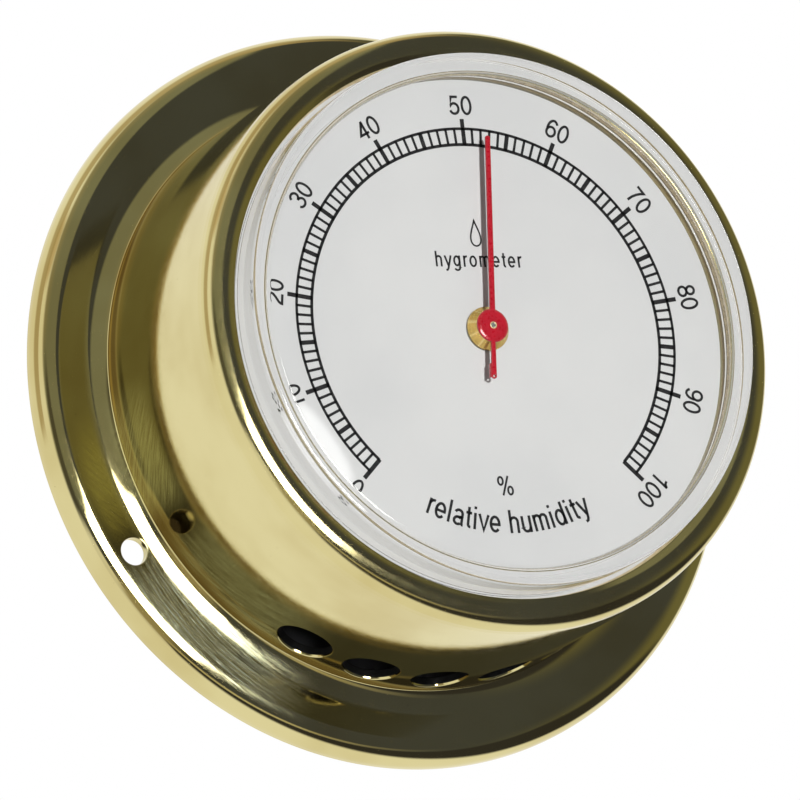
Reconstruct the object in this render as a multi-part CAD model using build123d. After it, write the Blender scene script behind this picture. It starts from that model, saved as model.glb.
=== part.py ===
from build123d import *
import os
from math import atan2, cos, degrees, hypot, pi, radians, sin, sqrt, tan

# Dial hygrometer for screwing to a wall or bulkhead.
# Every piece is drawn with the dial facing +Z, X to the right and Y up, and depth
# measured from the wall (the rim's foot). The finished pieces are then turned so
# that the dial faces -Y and +Z is up. The origin is on the dial's axis, in the
# plane of the wall.

# ---------------------------------------------------------------- dimensions, mm
# shell
FLANGE_R = 47.5          # outside of the rolled rim
SHEET = 1.2              # sheet thickness
RIM_ROUND = 3.0          # outer rounding of the rim
FLANGE_FACE = 3.6        # depth of the flange's front face
FOOT_FILLET = 5.0        # fillet that rises from the flange face
FOOT_TURN = 35           # degrees through which it rises
FOOT_CORNER = 0.35       # tighter fillet that takes it into the wall
WALL_R = 38.5            # outside of the round wall
WALL_FRONT = 31.2        # front edge of the wall
SCREW_PCD = 85.0
SCREW_R = 1.75
SCREW_AZ = (1.1, 121.1, 241.1)         # clockwise from the top, seen from the front
VENT_R = 3.6
VENT_TAPER = 18                  # degrees that the punched sides open outwards
VENT_DEPTH = 9.7
VENT_STEP = 14.0                 # degrees between vents
VENT_MID = 180.6
VENT_COUNT = 5
VENT_EDGE = 0.3
# bezel and crystal
BEAD_ROUND = 2.5
BEAD_FOOT = 31.6
BEZEL_IN_R = 34.6
BEZEL_LEDGE = 32.95              # underside of the bezel's lip
SKIRT_IN_R = 36.65
SKIRT_END = 29.2
CRYSTAL_R = 34.05
CRYSTAL_WALL = 2.0
CRYSTAL_TOP = 38.2
CRYSTAL_ROUND = 0.8
CRYSTAL_FLANGE_R = 36.4
CRYSTAL_FOOT = 31.75
GASKET = (34.4, 36.3, 31.7, 32.1)        # inner r, outer r, from, to
# dial
DIAL_R = 36.5
DIAL_FACE = 31.7
DIAL_THICK = 0.5
# rings that carry the dial
RING_IN_R = 34.8
RING_BACK = 28.2
GROOVE_DEPTH = 0.55
CLIP_THICK = 1.0
CLIP_IN_R = 36.0
# pointer
REST_ANGLE = 5.6                 # clockwise from the top, a reading of 52 %
HAND_TOP = 33.6
HAND_THICK = 0.35
DISC_R = 2.12
HAND_LENGTH = 24.55
HAND_W0, HAND_W1 = 0.76, 0.70    # at the disc, at the tip
TAIL_LENGTH = 6.85
TAIL_W = 0.72
HUB_BASE_R = 2.8
HUB_BASE = 31.9
SPIGOT_R = 0.46
ARBOR_TIP_R = 0.3
# movement
PLATE_F = (24.0, 25.2)
PLATE_B = (13.2, 14.4)
PILLARS = ((11.0, 9.5), (14.5, -16.0), (-18.0, -15.0), (-17.5, 8.5))
FEET = ((15.5, -3.0), (-18.0, -3.0), (-2.0, 10.2))
COVER_SCREWS = ((7.0, 24.0), (24.0, -13.0), (-26.0, -13.0))
MODULE = 0.35
PINION_TEETH = 12
WHEEL_TEETH = 72
SECTOR_HALF_TEETH = 6            # teeth each side of the middle one
PLAY = 0.06                      # backlash at the pitch circle
SECTOR_AT = (-8.0, -12.333)
CRANK_R = 1.5
CRANK_PIN_R = 0.4
HAIR_TOP_Y = 31.0
ECCENTRICITY = 0.7
PIVOT_R, BUSH_BORE_R = 0.35, 0.40
ARBOR_FRONT_R, CENTRE_BORE_R = 0.45, 0.50
# rear
COVER_BACK, COVER_FRONT = 3.0, 4.9
COVER_R = 37.65


# ------------------------------------------------------------------- construction
def profile(start, *steps):
    """Closed face in (radius, depth). A step is a point, or (centre, point) for an arc."""
    edges, p = [], start
    for s in steps + (start,):
        if isinstance(s[0], tuple):
            c, q = s
            r = hypot(p[0] - c[0], p[1] - c[1])
            mx, mz = p[0] + q[0] - 2 * c[0], p[1] + q[1] - 2 * c[1]
            k = r / hypot(mx, mz)
            m = (c[0] + mx * k, c[1] + mz * k)
            edges.append(
                Edge.make_three_point_arc((p[0], 0, p[1]), (m[0], 0, m[1]), (q[0], 0, q[1]))
            )
        else:
            q = s
            if hypot(p[0] - q[0], p[1] - q[1]) > 1e-9:
                edges.append(Edge.make_line((p[0], 0, p[1]), (q[0], 0, q[1])))
        p = q
    return make_face(edges)


def lathe(start, *steps):
    return revolve(profile(start, *steps), axis=Axis.Z)


def rod(r, z0, z1, at=(0, 0)):
    return Pos(at[0], at[1], z0) * Cylinder(
        r, z1 - z0, align=(Align.CENTER, Align.CENTER, Align.MIN)
    )


def tube(r, bore, z0, z1, at=(0, 0)):
    return rod(r, z0, z1, at) - rod(bore, z0 - 1, z1 + 1, at)


def block(x0, x1, y0, y1, z0, z1):
    return Pos((x0 + x1) / 2, (y0 + y1) / 2, (z0 + z1) / 2) * Box(x1 - x0, y1 - y0, z1 - z0)


def hull(*circles):
    """Flat outline stretched round circles given as (x, y, radius)."""
    sketch = Sketch() + [Pos(x, y) * Circle(r) for x, y, r in circles]
    return make_hull(sketch.edges())


def polar(r, azimuth):
    """A point at a clockwise angle from the top."""
    return (r * sin(radians(azimuth)), r * cos(radians(azimuth)))


def polygon(points):
    return make_face(Polyline(*points, close=True))


os.makedirs("parts", exist_ok=True)
written = []


def put(name, *solids):
    """Turns the piece into the part's frame and writes it as one node."""
    turned = [Rot(90, 0, 0) * s for group in solids for s in group.solids()]
    shape = turned[0] if len(turned) == 1 else Compound(children=turned)
    shape.label = name
    export_step(shape, f"parts/{name}.step")
    written.append(name)


# -------------------------------------------------------------------------- shell
rim_c = (FLANGE_R - RIM_ROUND, FLANGE_FACE - RIM_ROUND)
turn = radians(FOOT_TURN)
fil_c = (
    WALL_R + FOOT_CORNER + (FOOT_FILLET - FOOT_CORNER) * sin(turn),
    FLANGE_FACE + FOOT_FILLET,
)
corner_c = (WALL_R + FOOT_CORNER, fil_c[1] - (FOOT_FILLET - FOOT_CORNER) * cos(turn))


def foot_knee(radius):
    """Where the two fillets of the foot meet, on either side of the sheet."""
    return (fil_c[0] - radius * sin(turn), fil_c[1] - radius * cos(turn))


WALL_IN_R = WALL_R - SHEET
shell = lathe(
    (FLANGE_R - SHEET, 0),
    (FLANGE_R, 0),
    (FLANGE_R, rim_c[1]),
    (rim_c, (rim_c[0], FLANGE_FACE)),
    (fil_c[0], FLANGE_FACE),
    (fil_c, foot_knee(FOOT_FILLET)),
    (corner_c, (WALL_R, corner_c[1])),
    (WALL_R, WALL_FRONT),
    (WALL_IN_R, WALL_FRONT),
    (WALL_IN_R, RING_BACK),
    (WALL_IN_R + GROOVE_DEPTH, RING_BACK),
    (WALL_IN_R + GROOVE_DEPTH, RING_BACK - CLIP_THICK - 0.1),
    (WALL_IN_R, RING_BACK - CLIP_THICK - 0.1),
    (WALL_IN_R, corner_c[1]),
    (corner_c, foot_knee(FOOT_FILLET + SHEET)),
    (fil_c, (fil_c[0], FLANGE_FACE - SHEET)),
    (rim_c[0], FLANGE_FACE - SHEET),
    (rim_c, (FLANGE_R - SHEET, rim_c[1])),
)
for az in SCREW_AZ:
    shell -= rod(SCREW_R, -1, 6, polar(SCREW_PCD / 2, az))
for k in range(VENT_COUNT):
    az = VENT_MID + (k - (VENT_COUNT - 1) / 2) * VENT_STEP
    shell -= (
        Rot(0, 0, -az)
        * Pos(0, WALL_R, VENT_DEPTH)
        * Rot(90, 0, 0)
        * Cone(VENT_R + 6 * tan(radians(VENT_TAPER)), VENT_R - 6 * tan(radians(VENT_TAPER)), 12)
    )
vent_edges = [
    e
    for e in shell.edges()
    if e.geom_type != GeomType.LINE
    and abs(e.center().Z - VENT_DEPTH) < 0.5
    and hypot(e.center().X, e.center().Y) > WALL_R - 0.5
    and e.length < 30
]
shell = fillet(vent_edges, VENT_EDGE)
put("case_shell", shell)

# ---------------------------------------------------------------- bezel and window
bead_c = (WALL_R - BEAD_ROUND, BEAD_FOOT)
CREST = BEAD_FOOT + BEAD_ROUND
in_c = (bead_c[0], CREST - 1.5)
slope = radians(30)
knee = (in_c[0] - 1.5 * sin(slope), in_c[1] + 1.5 * cos(slope))
lip_top = knee[1] - (knee[0] - BEZEL_IN_R) * tan(slope)
bezel = lathe(
    (WALL_R, WALL_FRONT),
    (WALL_R, BEAD_FOOT),
    (bead_c, (bead_c[0], CREST)),
    (in_c, knee),
    (BEZEL_IN_R + 0.16, lip_top + 0.16 * tan(slope)),
    ((BEZEL_IN_R + 0.18, lip_top - 0.10), (BEZEL_IN_R, lip_top - 0.12)),
    (BEZEL_IN_R, BEZEL_LEDGE),
    (SKIRT_IN_R, BEZEL_LEDGE),
    (SKIRT_IN_R, SKIRT_END),
    (WALL_IN_R - 0.2, SKIRT_END),
    (WALL_IN_R, SKIRT_END + 0.2),
    (WALL_IN_R, WALL_FRONT),
)
put("bezel_ring", bezel)

ci = CRYSTAL_R - CRYSTAL_WALL
ct = CRYSTAL_TOP - CRYSTAL_WALL
cr = CRYSTAL_ROUND
crystal = lathe(
    (0, CRYSTAL_TOP),
    (CRYSTAL_R - cr, CRYSTAL_TOP),
    ((CRYSTAL_R - cr, CRYSTAL_TOP - cr), (CRYSTAL_R, CRYSTAL_TOP - cr)),
    (CRYSTAL_R, BEZEL_LEDGE),
    (CRYSTAL_FLANGE_R, BEZEL_LEDGE),
    (CRYSTAL_FLANGE_R, GASKET[3]),
    (CRYSTAL_R, GASKET[3]),
    (CRYSTAL_R, CRYSTAL_FOOT),
    (ci, CRYSTAL_FOOT),
    (ci, ct - cr),
    ((ci - cr, ct - cr), (ci - cr, ct)),
    (0, ct),
)
put("crystal", crystal)
put("crystal_gasket", tube(GASKET[1], GASKET[0], GASKET[2], GASKET[3]))

# --------------------------------------------------------------- dial and its seat
dial_back = DIAL_FACE - DIAL_THICK
put("dial_plate", tube(DIAL_R, 1.6, dial_back, DIAL_FACE))
support = lathe(
    (RING_IN_R, RING_BACK),
    (WALL_IN_R - 0.1, RING_BACK),
    (WALL_IN_R - 0.1, SKIRT_END - 0.05),
    (SKIRT_IN_R - 0.1, SKIRT_END - 0.05),
    (SKIRT_IN_R - 0.1, dial_back),
    (RING_IN_R, dial_back),
)
put("dial_support_ring", support)
clip = tube(WALL_IN_R + GROOVE_DEPTH - 0.05, CLIP_IN_R, RING_BACK - CLIP_THICK, RING_BACK)
gap = Rot(0, 0, -90) * block(30, 45, -3.2, 3.2, 20, 40)
put("retaining_ring", clip - gap)

# ---------------------------------------------------------------- movement frame
front_outline = hull(*[(x, y, 3.2) for x, y in PILLARS], (0, 0, 4))
front_plate = extrude(Pos(0, 0, PLATE_F[0]) * front_outline, PLATE_F[1] - PLATE_F[0])
front_plate -= rod(1.5, 20, 30)
front_plate -= rod(1.0, 20, 30, SECTOR_AT)
for p in PILLARS:
    front_plate -= rod(1.0, 20, 30, p)
for p in FEET:
    front_plate -= rod(0.85, 20, 30, p)

ADJ_AT = (SECTOR_AT[0] - CRANK_R + ECCENTRICITY, HAIR_TOP_Y)
back_outline = hull(*[(x, y, 3.2) for x, y in PILLARS])
back_outline += hull((PILLARS[0][0], PILLARS[0][1], 3.2), (*COVER_SCREWS[0], 3.4))
back_outline += hull((PILLARS[1][0], PILLARS[1][1], 3.2), (*COVER_SCREWS[1], 3.4))
back_outline += hull((PILLARS[2][0], PILLARS[2][1], 3.2), (*COVER_SCREWS[2], 3.4))
back_outline += hull((-8.0, 6.0, 4.2), (*ADJ_AT, 4.0))
back_plate = extrude(Pos(0, 0, PLATE_B[0]) * back_outline, PLATE_B[1] - PLATE_B[0])
back_plate -= rod(1.0, 10, 20)
back_plate -= rod(1.0, 10, 20, SECTOR_AT)
back_plate -= rod(1.35, 10, 20, ADJ_AT)
for p in PILLARS:
    back_plate -= rod(0.85, 10, 20, p)
for p in COVER_SCREWS:
    back_plate -= rod(1.0, 10, 20, p)
put("movement_front_plate", front_plate)
put("movement_back_plate", back_plate)

put(
    "movement_pillars",
    *[
        rod(1.7, PLATE_B[1], PLATE_F[0], p)
        + rod(0.98, PLATE_F[0], PLATE_F[1], p)
        - rod(0.8, PLATE_B[1] - 1, PLATE_B[1] + 4.5, p)
        for p in PILLARS
    ],
)
screws = []
for i, p in enumerate(PILLARS):
    s = rod(1.5, PLATE_B[0] - 1.0, PLATE_B[0], p) + rod(0.78, PLATE_B[0], PLATE_B[1] + 4.0, p)
    slot = Pos(p[0], p[1], PLATE_B[0] - 1.0) * Rot(0, 0, 35 * i) * Box(4, 0.4, 1.0)
    screws.append(s - slot)
put("plate_screws", *screws)

feet, nuts = [], []
for x, y in FEET:
    feet.append(
        rod(2.4, dial_back - 0.6, dial_back, (x, y))
        + rod(1.5, PLATE_F[1], dial_back - 0.6, (x, y))
        + rod(0.8, PLATE_F[0] - 1.8, PLATE_F[1], (x, y))
    )
    nut = extrude(
        Pos(x, y, PLATE_F[0] - 1.2) * RegularPolygon(1.85, 6, major_radius=True), 1.2
    )
    nuts.append(nut - rod(0.82, 20, 30, (x, y)))
put("dial_feet", *feet)
put("foot_nuts", *nuts)

# -------------------------------------------------------------- bushes and arbors
centre_bush = lathe(
    (CENTRE_BORE_R, 23.6),
    (1.48, 23.6),
    (1.48, PLATE_F[1]),
    (2.4, PLATE_F[1]),
    (2.4, PLATE_F[1] + 0.8),
    (1.5, PLATE_F[1] + 0.8),
    (1.5, DIAL_FACE - 0.1),
    (CENTRE_BORE_R, DIAL_FACE - 0.1),
)
put("centre_bush", centre_bush)
put(
    "pivot_bushes",
    tube(0.98, BUSH_BORE_R, PLATE_B[0] - 0.2, PLATE_B[1] + 0.1),
    tube(0.98, BUSH_BORE_R, PLATE_B[0] - 0.2, PLATE_B[1] + 0.1, SECTOR_AT),
    tube(0.98, BUSH_BORE_R, PLATE_F[0] - 0.1, PLATE_F[1] + 0.2, SECTOR_AT),
)
arbor = lathe(
    (0, PLATE_B[0] - 0.1),
    (PIVOT_R - 0.1, PLATE_B[0] - 0.1),
    (PIVOT_R, PLATE_B[0]),
    (PIVOT_R, PLATE_B[1] + 0.25),
    (0.6, PLATE_B[1] + 0.25),
    (0.6, 23.45),
    (ARBOR_FRONT_R, 23.45),
    (ARBOR_FRONT_R, HUB_BASE - 0.05),
    (ARBOR_TIP_R, HUB_BASE - 0.05),
    (ARBOR_TIP_R, HAND_TOP + 0.04),
    (0, HAND_TOP + 0.04),
)
put("pointer_arbor", arbor)
sector_arbor = lathe(
    (0, PLATE_B[0] - 0.1),
    (PIVOT_R, PLATE_B[0] - 0.1),
    (PIVOT_R, PLATE_B[1] + 0.25),
    (0.7, PLATE_B[1] + 0.25),
    (0.7, PLATE_F[0] - 0.25),
    (PIVOT_R, PLATE_F[0] - 0.25),
    (PIVOT_R, PLATE_F[1] + 0.1),
    (0, PLATE_F[1] + 0.1),
)
put("sector_arbor", Pos(*SECTOR_AT, 0) * sector_arbor)

# ------------------------------------------------------------------------- gears
ALPHA = radians(20)


def inv(a):
    return tan(a) - a


def tooth_flank(teeth, root, tip, n=7):
    """(radius, half angle) from the root to the tip of one involute tooth."""
    pitch = teeth * MODULE / 2
    base = pitch * cos(ALPHA)
    half = (pi * MODULE / 2 - PLAY / 2) / (2 * pitch)
    out = []
    low = max(base, root)
    if root < base:
        out.append((root, half + inv(ALPHA)))
    for i in range(n):
        r = low + (tip - low) * i / (n - 1)
        a = atan2(sqrt(max(r * r - base * base, 0.0)), base)
        out.append((r, half + inv(ALPHA) - inv(a)))
    return out


def tooth_points(teeth, root, tip, middle, turn):
    flank = tooth_flank(teeth, root, tip)
    c = turn + middle * 2 * pi / teeth
    return [(r * cos(c - h), r * sin(c - h)) for r, h in flank] + [
        (r * cos(c + h), r * sin(c + h)) for r, h in reversed(flank)
    ]


line_of_centres = atan2(-SECTOR_AT[1], -SECTOR_AT[0])       # from sector to pointer arbor
# the sector's middle tooth lies on the line of centres, in a gap of the pinion
pinion_turn = line_of_centres + pi + pi / PINION_TEETH
pitch_p, pitch_w = PINION_TEETH * MODULE / 2, WHEEL_TEETH * MODULE / 2
pts = []
for k in range(PINION_TEETH):
    pts += tooth_points(PINION_TEETH, pitch_p - 0.95 * MODULE, pitch_p + MODULE, k, pinion_turn)
pinion = extrude(Pos(0, 0, 17.4) * polygon(pts), 3.0)
pinion += tube(1.5, 0.6, 20.4, 21.2) - rod(0.6, 10, 30)
pinion -= rod(0.6, 10, 30)
put("pinion", pinion)

pts = []
root_w = pitch_w - 1.25 * MODULE
for k in range(-SECTOR_HALF_TEETH, SECTOR_HALF_TEETH + 1):
    pts += tooth_points(WHEEL_TEETH, root_w, pitch_w + 0.7 * MODULE, k, line_of_centres)
spread = (SECTOR_HALF_TEETH + 0.5) * 2 * pi / WHEEL_TEETH
lo_a, hi_a = line_of_centres - spread, line_of_centres + spread
pts = (
    [(1.2 * cos(line_of_centres - 1.9), 1.2 * sin(line_of_centres - 1.9))]
    + [(root_w * cos(lo_a), root_w * sin(lo_a))]
    + pts
    + [(root_w * cos(hi_a), root_w * sin(hi_a))]
    + [(1.2 * cos(line_of_centres + 1.9), 1.2 * sin(line_of_centres + 1.9))]
)
blank = polygon(pts) + Circle(2.7)
win = radians(15)
arc = [(9.9, t) for t in (-win, -win / 2, 0, win / 2, win)] + [
    (5.0, t) for t in (win * 0.75, 0, -win * 0.75)
]
window = polygon(
    [(r * cos(line_of_centres + t), r * sin(line_of_centres + t)) for r, t in arc]
)
# a counterweight lobe behind the hub balances the toothed part
lobe = Rot(0, 0, degrees(line_of_centres) + 180) * (Pos(3.6, 0) * Circle(2.2))
wheel = extrude(Pos(0, 0, 18.3) * (blank - window + lobe), 1.2)
wheel += rod(1.7, 19.5, 21.3)
wheel -= rod(0.7, 10, 30)
put("sector_gear", Pos(*SECTOR_AT, 0) * wheel)

# ---------------------------------------------------------- crank and hair element
lever_z = (PLATE_B[1] + 0.5, PLATE_B[1] + 1.3)
lever = hull((0, 0, 1.5), (-CRANK_R, 0, 0.95))
lever = extrude(Pos(0, 0, lever_z[0]) * lever, lever_z[1] - lever_z[0])
lever -= rod(0.7, 10, 30)
lever -= rod(CRANK_PIN_R, 10, 30, (-CRANK_R, 0))
put("hair_lever", Pos(*SECTOR_AT, 0) * lever)
HAIR_X = SECTOR_AT[0] - CRANK_R
low_pin = (HAIR_X, SECTOR_AT[1])
put("crank_pin", rod(CRANK_PIN_R, lever_z[0], 17.5, low_pin))

clip_z = (16.1, 16.9)
hair_z = (16.35, 16.65)
pocket = block(HAIR_X - 0.6, HAIR_X + 0.6, low_pin[1] + 1.9, HAIR_TOP_Y - 1.9, *hair_z)


def hair_clip(y, up):
    """Small eye on the pin, a neck, and a flat barrel crimped on the hair's end."""
    eye = rod(0.75, *clip_z, (HAIR_X, y))
    s = 1 if up else -1
    neck = block(HAIR_X - 0.5, HAIR_X + 0.5, *sorted((y + 0.3 * s, y + 1.5 * s)), *clip_z)
    body = block(HAIR_X - 0.95, HAIR_X + 0.95, *sorted((y + 1.3 * s, y + 5.2 * s)), *clip_z)
    return eye + neck + body - rod(CRANK_PIN_R + 0.05, 10, 30, (HAIR_X, y)) - pocket


put("hair_clips", hair_clip(HAIR_TOP_Y, False), hair_clip(low_pin[1], True))
put("hair_bundle", pocket)

# ------------------------------------------------------------------ adjusting screw
adj = rod(2.2, COVER_BACK + 0.2, PLATE_B[0] - 0.6) + rod(1.3, PLATE_B[0] - 0.6, 15.6)
adj += rod(CRANK_PIN_R, 15.6, 17.5, (HAIR_X - ADJ_AT[0], 0))
adj -= tube(1.5, 1.0, PLATE_B[1] + 0.2, PLATE_B[1] + 0.5)
adj -= Pos(0, 0, COVER_BACK + 0.2) * Box(6, 0.8, 2.4)
put("adjusting_screw", Pos(*ADJ_AT, 0) * adj)
adj_clip = tube(2.5, 1.0, PLATE_B[1] + 0.22, PLATE_B[1] + 0.48)
adj_clip -= block(0, 4, -0.85, 0.85, 10, 20)
put("adjuster_clip", Pos(*ADJ_AT, 0) * adj_clip)
z0, z1 = PLATE_B[0] - 0.6, PLATE_B[0]
washer = lathe((1.4, z0), (1.9, z0), (3.0, z1 - 0.25), (3.0, z1), (2.5, z1), (1.4, z0 + 0.25))
put("friction_washer", Pos(*ADJ_AT, 0) * washer)

# ----------------------------------------------------------------------- hairspring
SPRING_Z = (22.0, 22.5)
COLLET_R = 1.3
put("hairspring_collet", tube(COLLET_R, 0.6, 21.6, 22.9))
TURNS, STRIP = 4.6, 0.10
R0, R1 = COLLET_R + 0.03, 5.4
N = 74
inner, outer = [], []
for i in range(N + 1):
    t = i / N
    a = radians(20) + 2 * pi * TURNS * t
    r = R0 + (R1 - R0) * t
    inner.append((r * cos(a), r * sin(a)))
    outer.append(((r + STRIP) * cos(a), (r + STRIP) * sin(a)))
strip = make_face(
    [Spline(*inner), Line(inner[-1], outer[-1]), Spline(*reversed(outer)), Line(outer[0], inner[0])]
)
put("hairspring", extrude(Pos(0, 0, SPRING_Z[0]) * strip, SPRING_Z[1] - SPRING_Z[0]))
end_a = degrees(radians(20) + 2 * pi * TURNS)
stud = rod(0.75, 21.7, PLATE_F[0], (R1 + 0.05, 0)) - block(
    R1 - 0.12, R1 + 0.22, -2, 2, 20, SPRING_Z[1] + 0.1
)
put("hairspring_stud", Rot(0, 0, end_a - 1.0) * stud)

# ------------------------------------------------------------------ hub and pointer
hand_back = HAND_TOP - HAND_THICK
hub = lathe(
    (ARBOR_TIP_R, HUB_BASE),
    (HUB_BASE_R - 0.12, HUB_BASE),
    (HUB_BASE_R, HUB_BASE + 0.12),
    (HUB_BASE_R - 0.05, HUB_BASE + 0.35),
    (DISC_R - 0.05, hand_back),
    (SPIGOT_R, hand_back),
    (SPIGOT_R, HAND_TOP + 0.06),
    (SPIGOT_R - 0.06, HAND_TOP + 0.12),
    (ARBOR_TIP_R, HAND_TOP + 0.12),
)
put("hand_hub", hub)
w0, w1, tw = HAND_W0 / 2, HAND_W1 / 2, TAIL_W / 2
tip = polygon([(-w0, 0), (-w1, HAND_LENGTH - 0.3), (0, HAND_LENGTH), (w1, HAND_LENGTH - 0.3), (w0, 0)])
tail = polygon([(-0.3, 0), (0.3, 0), (tw, -TAIL_LENGTH + tw), (-tw, -TAIL_LENGTH + tw)])
tail += Pos(0, -TAIL_LENGTH + tw) * Circle(tw)
flat = tip + tail + Circle(DISC_R)
flat -= Circle(SPIGOT_R)
flat -= Pos(0, -TAIL_LENGTH + tw) * Circle(0.13)
hand = extrude(Pos(0, 0, hand_back) * flat, HAND_THICK)
# the folded balance tab hangs from the tail's left edge
tab = block(-tw - 0.12, -tw + 0.06, -TAIL_LENGTH + 0.15, -TAIL_LENGTH + 1.95, hand_back - 0.3, hand_back)
tab += block(-tw - 0.12, -tw + 0.06, -TAIL_LENGTH + 0.15, -TAIL_LENGTH + 1.95, hand_back - 0.02, hand_back + 0.2)
put("pointer_hand", Rot(0, 0, -REST_ANGLE) * (hand + tab))

# ----------------------------------------------------------------------- back cover
cover = lathe(
    (0, COVER_BACK),
    (COVER_R - 0.3, COVER_BACK),
    (COVER_R, COVER_BACK + 0.3),
    (COVER_R, COVER_BACK + 0.5),
    (WALL_IN_R - 0.1, 4.2),
    (WALL_IN_R - 0.1, 6.0),
    (WALL_IN_R - 1.6, 6.0),
    (WALL_IN_R - 1.6, COVER_FRONT),
    (0, COVER_FRONT),
)
for p in COVER_SCREWS:
    cover += rod(3.0, COVER_FRONT - 0.1, PLATE_B[0], p)
for p in COVER_SCREWS:
    cover -= rod(1.1, 0, 20, p)
    cover -= rod(2.2, 0, COVER_BACK + 0.5, p)
cover -= rod(2.45, 0, 10, ADJ_AT)
put("back_cover", cover)
cs = []
for i, p in enumerate(COVER_SCREWS):
    s = rod(1.9, COVER_BACK - 0.8, COVER_BACK + 0.5, p) + rod(0.98, COVER_BACK + 0.5, PLATE_B[1], p)
    at = Pos(p[0], p[1], COVER_BACK - 0.8) * Rot(0, 0, 50 * i + 20)
    cs.append(s - at * Box(2.4, 0.5, 1.4) - at * Box(0.5, 2.4, 1.4))
put("cover_screws", *cs)

print(len(written), "nodes:", ", ".join(written))
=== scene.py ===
import math
from math import sin, cos, radians, hypot, pi, sqrt, atan2, tan

import bpy
import numpy as np
from mathutils import Matrix, Vector


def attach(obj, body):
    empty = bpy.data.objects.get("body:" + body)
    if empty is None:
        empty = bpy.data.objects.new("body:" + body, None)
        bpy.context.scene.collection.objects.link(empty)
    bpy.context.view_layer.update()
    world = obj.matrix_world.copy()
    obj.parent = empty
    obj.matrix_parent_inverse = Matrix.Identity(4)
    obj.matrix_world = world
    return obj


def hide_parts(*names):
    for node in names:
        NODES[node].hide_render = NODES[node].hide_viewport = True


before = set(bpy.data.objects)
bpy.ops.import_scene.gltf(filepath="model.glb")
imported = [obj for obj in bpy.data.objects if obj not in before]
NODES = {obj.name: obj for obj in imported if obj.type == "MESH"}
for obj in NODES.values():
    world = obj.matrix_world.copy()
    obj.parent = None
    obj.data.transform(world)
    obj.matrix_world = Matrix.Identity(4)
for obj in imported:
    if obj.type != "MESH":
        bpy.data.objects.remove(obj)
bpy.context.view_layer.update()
scene = bpy.context.scene

# Pieces are drawn in millimetres as (x right, y up, d depth from the wall) and
# stored in the row frame, in metres, as (x, -d, y). Azimuths run clockwise from
# the top as seen by the reader.


def row(p):
    """(x, y, d) in mm to the row frame in metres; also turns directions when scaled back."""
    p = np.asarray(p, float)
    return np.stack([p[..., 0], -p[..., 2], p[..., 1]], -1) / 1000.0


def rowdir(n):
    n = np.asarray(n, float)
    return np.stack([n[..., 0], -n[..., 2], n[..., 1]], -1)


# ------------------------------------------------------------------ mesh tools
class Builder:
    """Collects points and faces whose corners carry their own exact normals."""

    def __init__(self):
        self.v, self.f, self.n, self.m = [], [], [], []

    def add(self, pts):
        i = len(self.v)
        self.v.extend(map(tuple, np.asarray(pts, float).reshape(-1, 3)))
        return i

    def face(self, idx, normals, mat=0):
        a, b, c = (np.array(self.v[idx[0]]), np.array(self.v[idx[1]]), np.array(self.v[idx[2]]))
        g = np.cross(b - a, c - a)
        if len(idx) == 4:
            g = g + np.cross(c - a, np.array(self.v[idx[3]]) - a)
        if np.dot(g, np.sum(np.asarray(normals, float), 0)) < 0:
            idx, normals = idx[::-1], normals[::-1]
        self.f.append(tuple(idx))
        self.n.extend(tuple(map(float, q)) for q in normals)
        self.m.append(mat)

    def build(self, name, materials, body, replaces=()):
        v = row(np.array(self.v))
        n = rowdir(np.array(self.n))
        n /= np.linalg.norm(n, axis=1, keepdims=True)
        me = bpy.data.meshes.new(name)
        me.from_pydata(v.tolist(), [], self.f)
        me.polygons.foreach_set("use_smooth", [True] * len(me.polygons))
        me.polygons.foreach_set("material_index", self.m)
        for m in materials:
            me.materials.append(m)
        me.update()
        me.normals_split_custom_set(n.tolist())
        o = bpy.data.objects.new(name, me)
        scene.collection.objects.link(o)
        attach(o, body)
        if replaces:
            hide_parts(*replaces)
        return o


class Profile:
    """Closed outline in (radius, depth) with an exact outward normal at both ends of each step."""

    def __init__(self, start):
        self.p, self.seg, self.marks = [start], [], {}

    def mark(self, name):
        self.marks[name] = len(self.p) - 1
        return self

    def line(self, q, n=1, mat=0):
        p = self.p[-1]
        for i in range(1, n + 1):
            t = i / n
            self.p.append((p[0] + (q[0] - p[0]) * t, p[1] + (q[1] - p[1]) * t))
            self.seg.append((None, mat))
        return self

    def arc(self, c, q, n, mat=0):
        p = self.p[-1]
        a0, a1 = atan2(p[1] - c[1], p[0] - c[0]), atan2(q[1] - c[1], q[0] - c[0])
        while a1 - a0 > pi:
            a1 -= 2 * pi
        while a1 - a0 < -pi:
            a1 += 2 * pi
        r0, r1 = hypot(p[0] - c[0], p[1] - c[1]), hypot(q[0] - c[0], q[1] - c[1])
        for i in range(1, n + 1):
            t = i / n
            r, a = r0 + (r1 - r0) * t, a0 + (a1 - a0) * t
            self.p.append((c[0] + r * cos(a), c[1] + r * sin(a)))
            self.seg.append((c, mat))
        return self

    def normals(self):
        pts = self.p
        area = sum(pts[i][0] * pts[(i + 1) % len(pts)][1] - pts[(i + 1) % len(pts)][0] * pts[i][1]
                   for i in range(len(pts)))
        s = 1 if area > 0 else -1
        out = []
        for i, (c, _) in enumerate(self.seg):
            p, q = pts[i], pts[i + 1]
            d = (q[0] - p[0], q[1] - p[1])
            n = (s * d[1], -s * d[0])
            l = hypot(*n) or 1
            n = (n[0] / l, n[1] / l)
            if c is None:
                out.append((n, n))
            else:
                e = []
                for x in (p, q):
                    k = (x[0] - c[0], x[1] - c[1])
                    l = hypot(*k)
                    k = (k[0] / l, k[1] / l)
                    if k[0] * n[0] + k[1] * n[1] < 0:
                        k = (-k[0], -k[1])
                    e.append(k)
                out.append(tuple(e))
        return out


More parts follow.
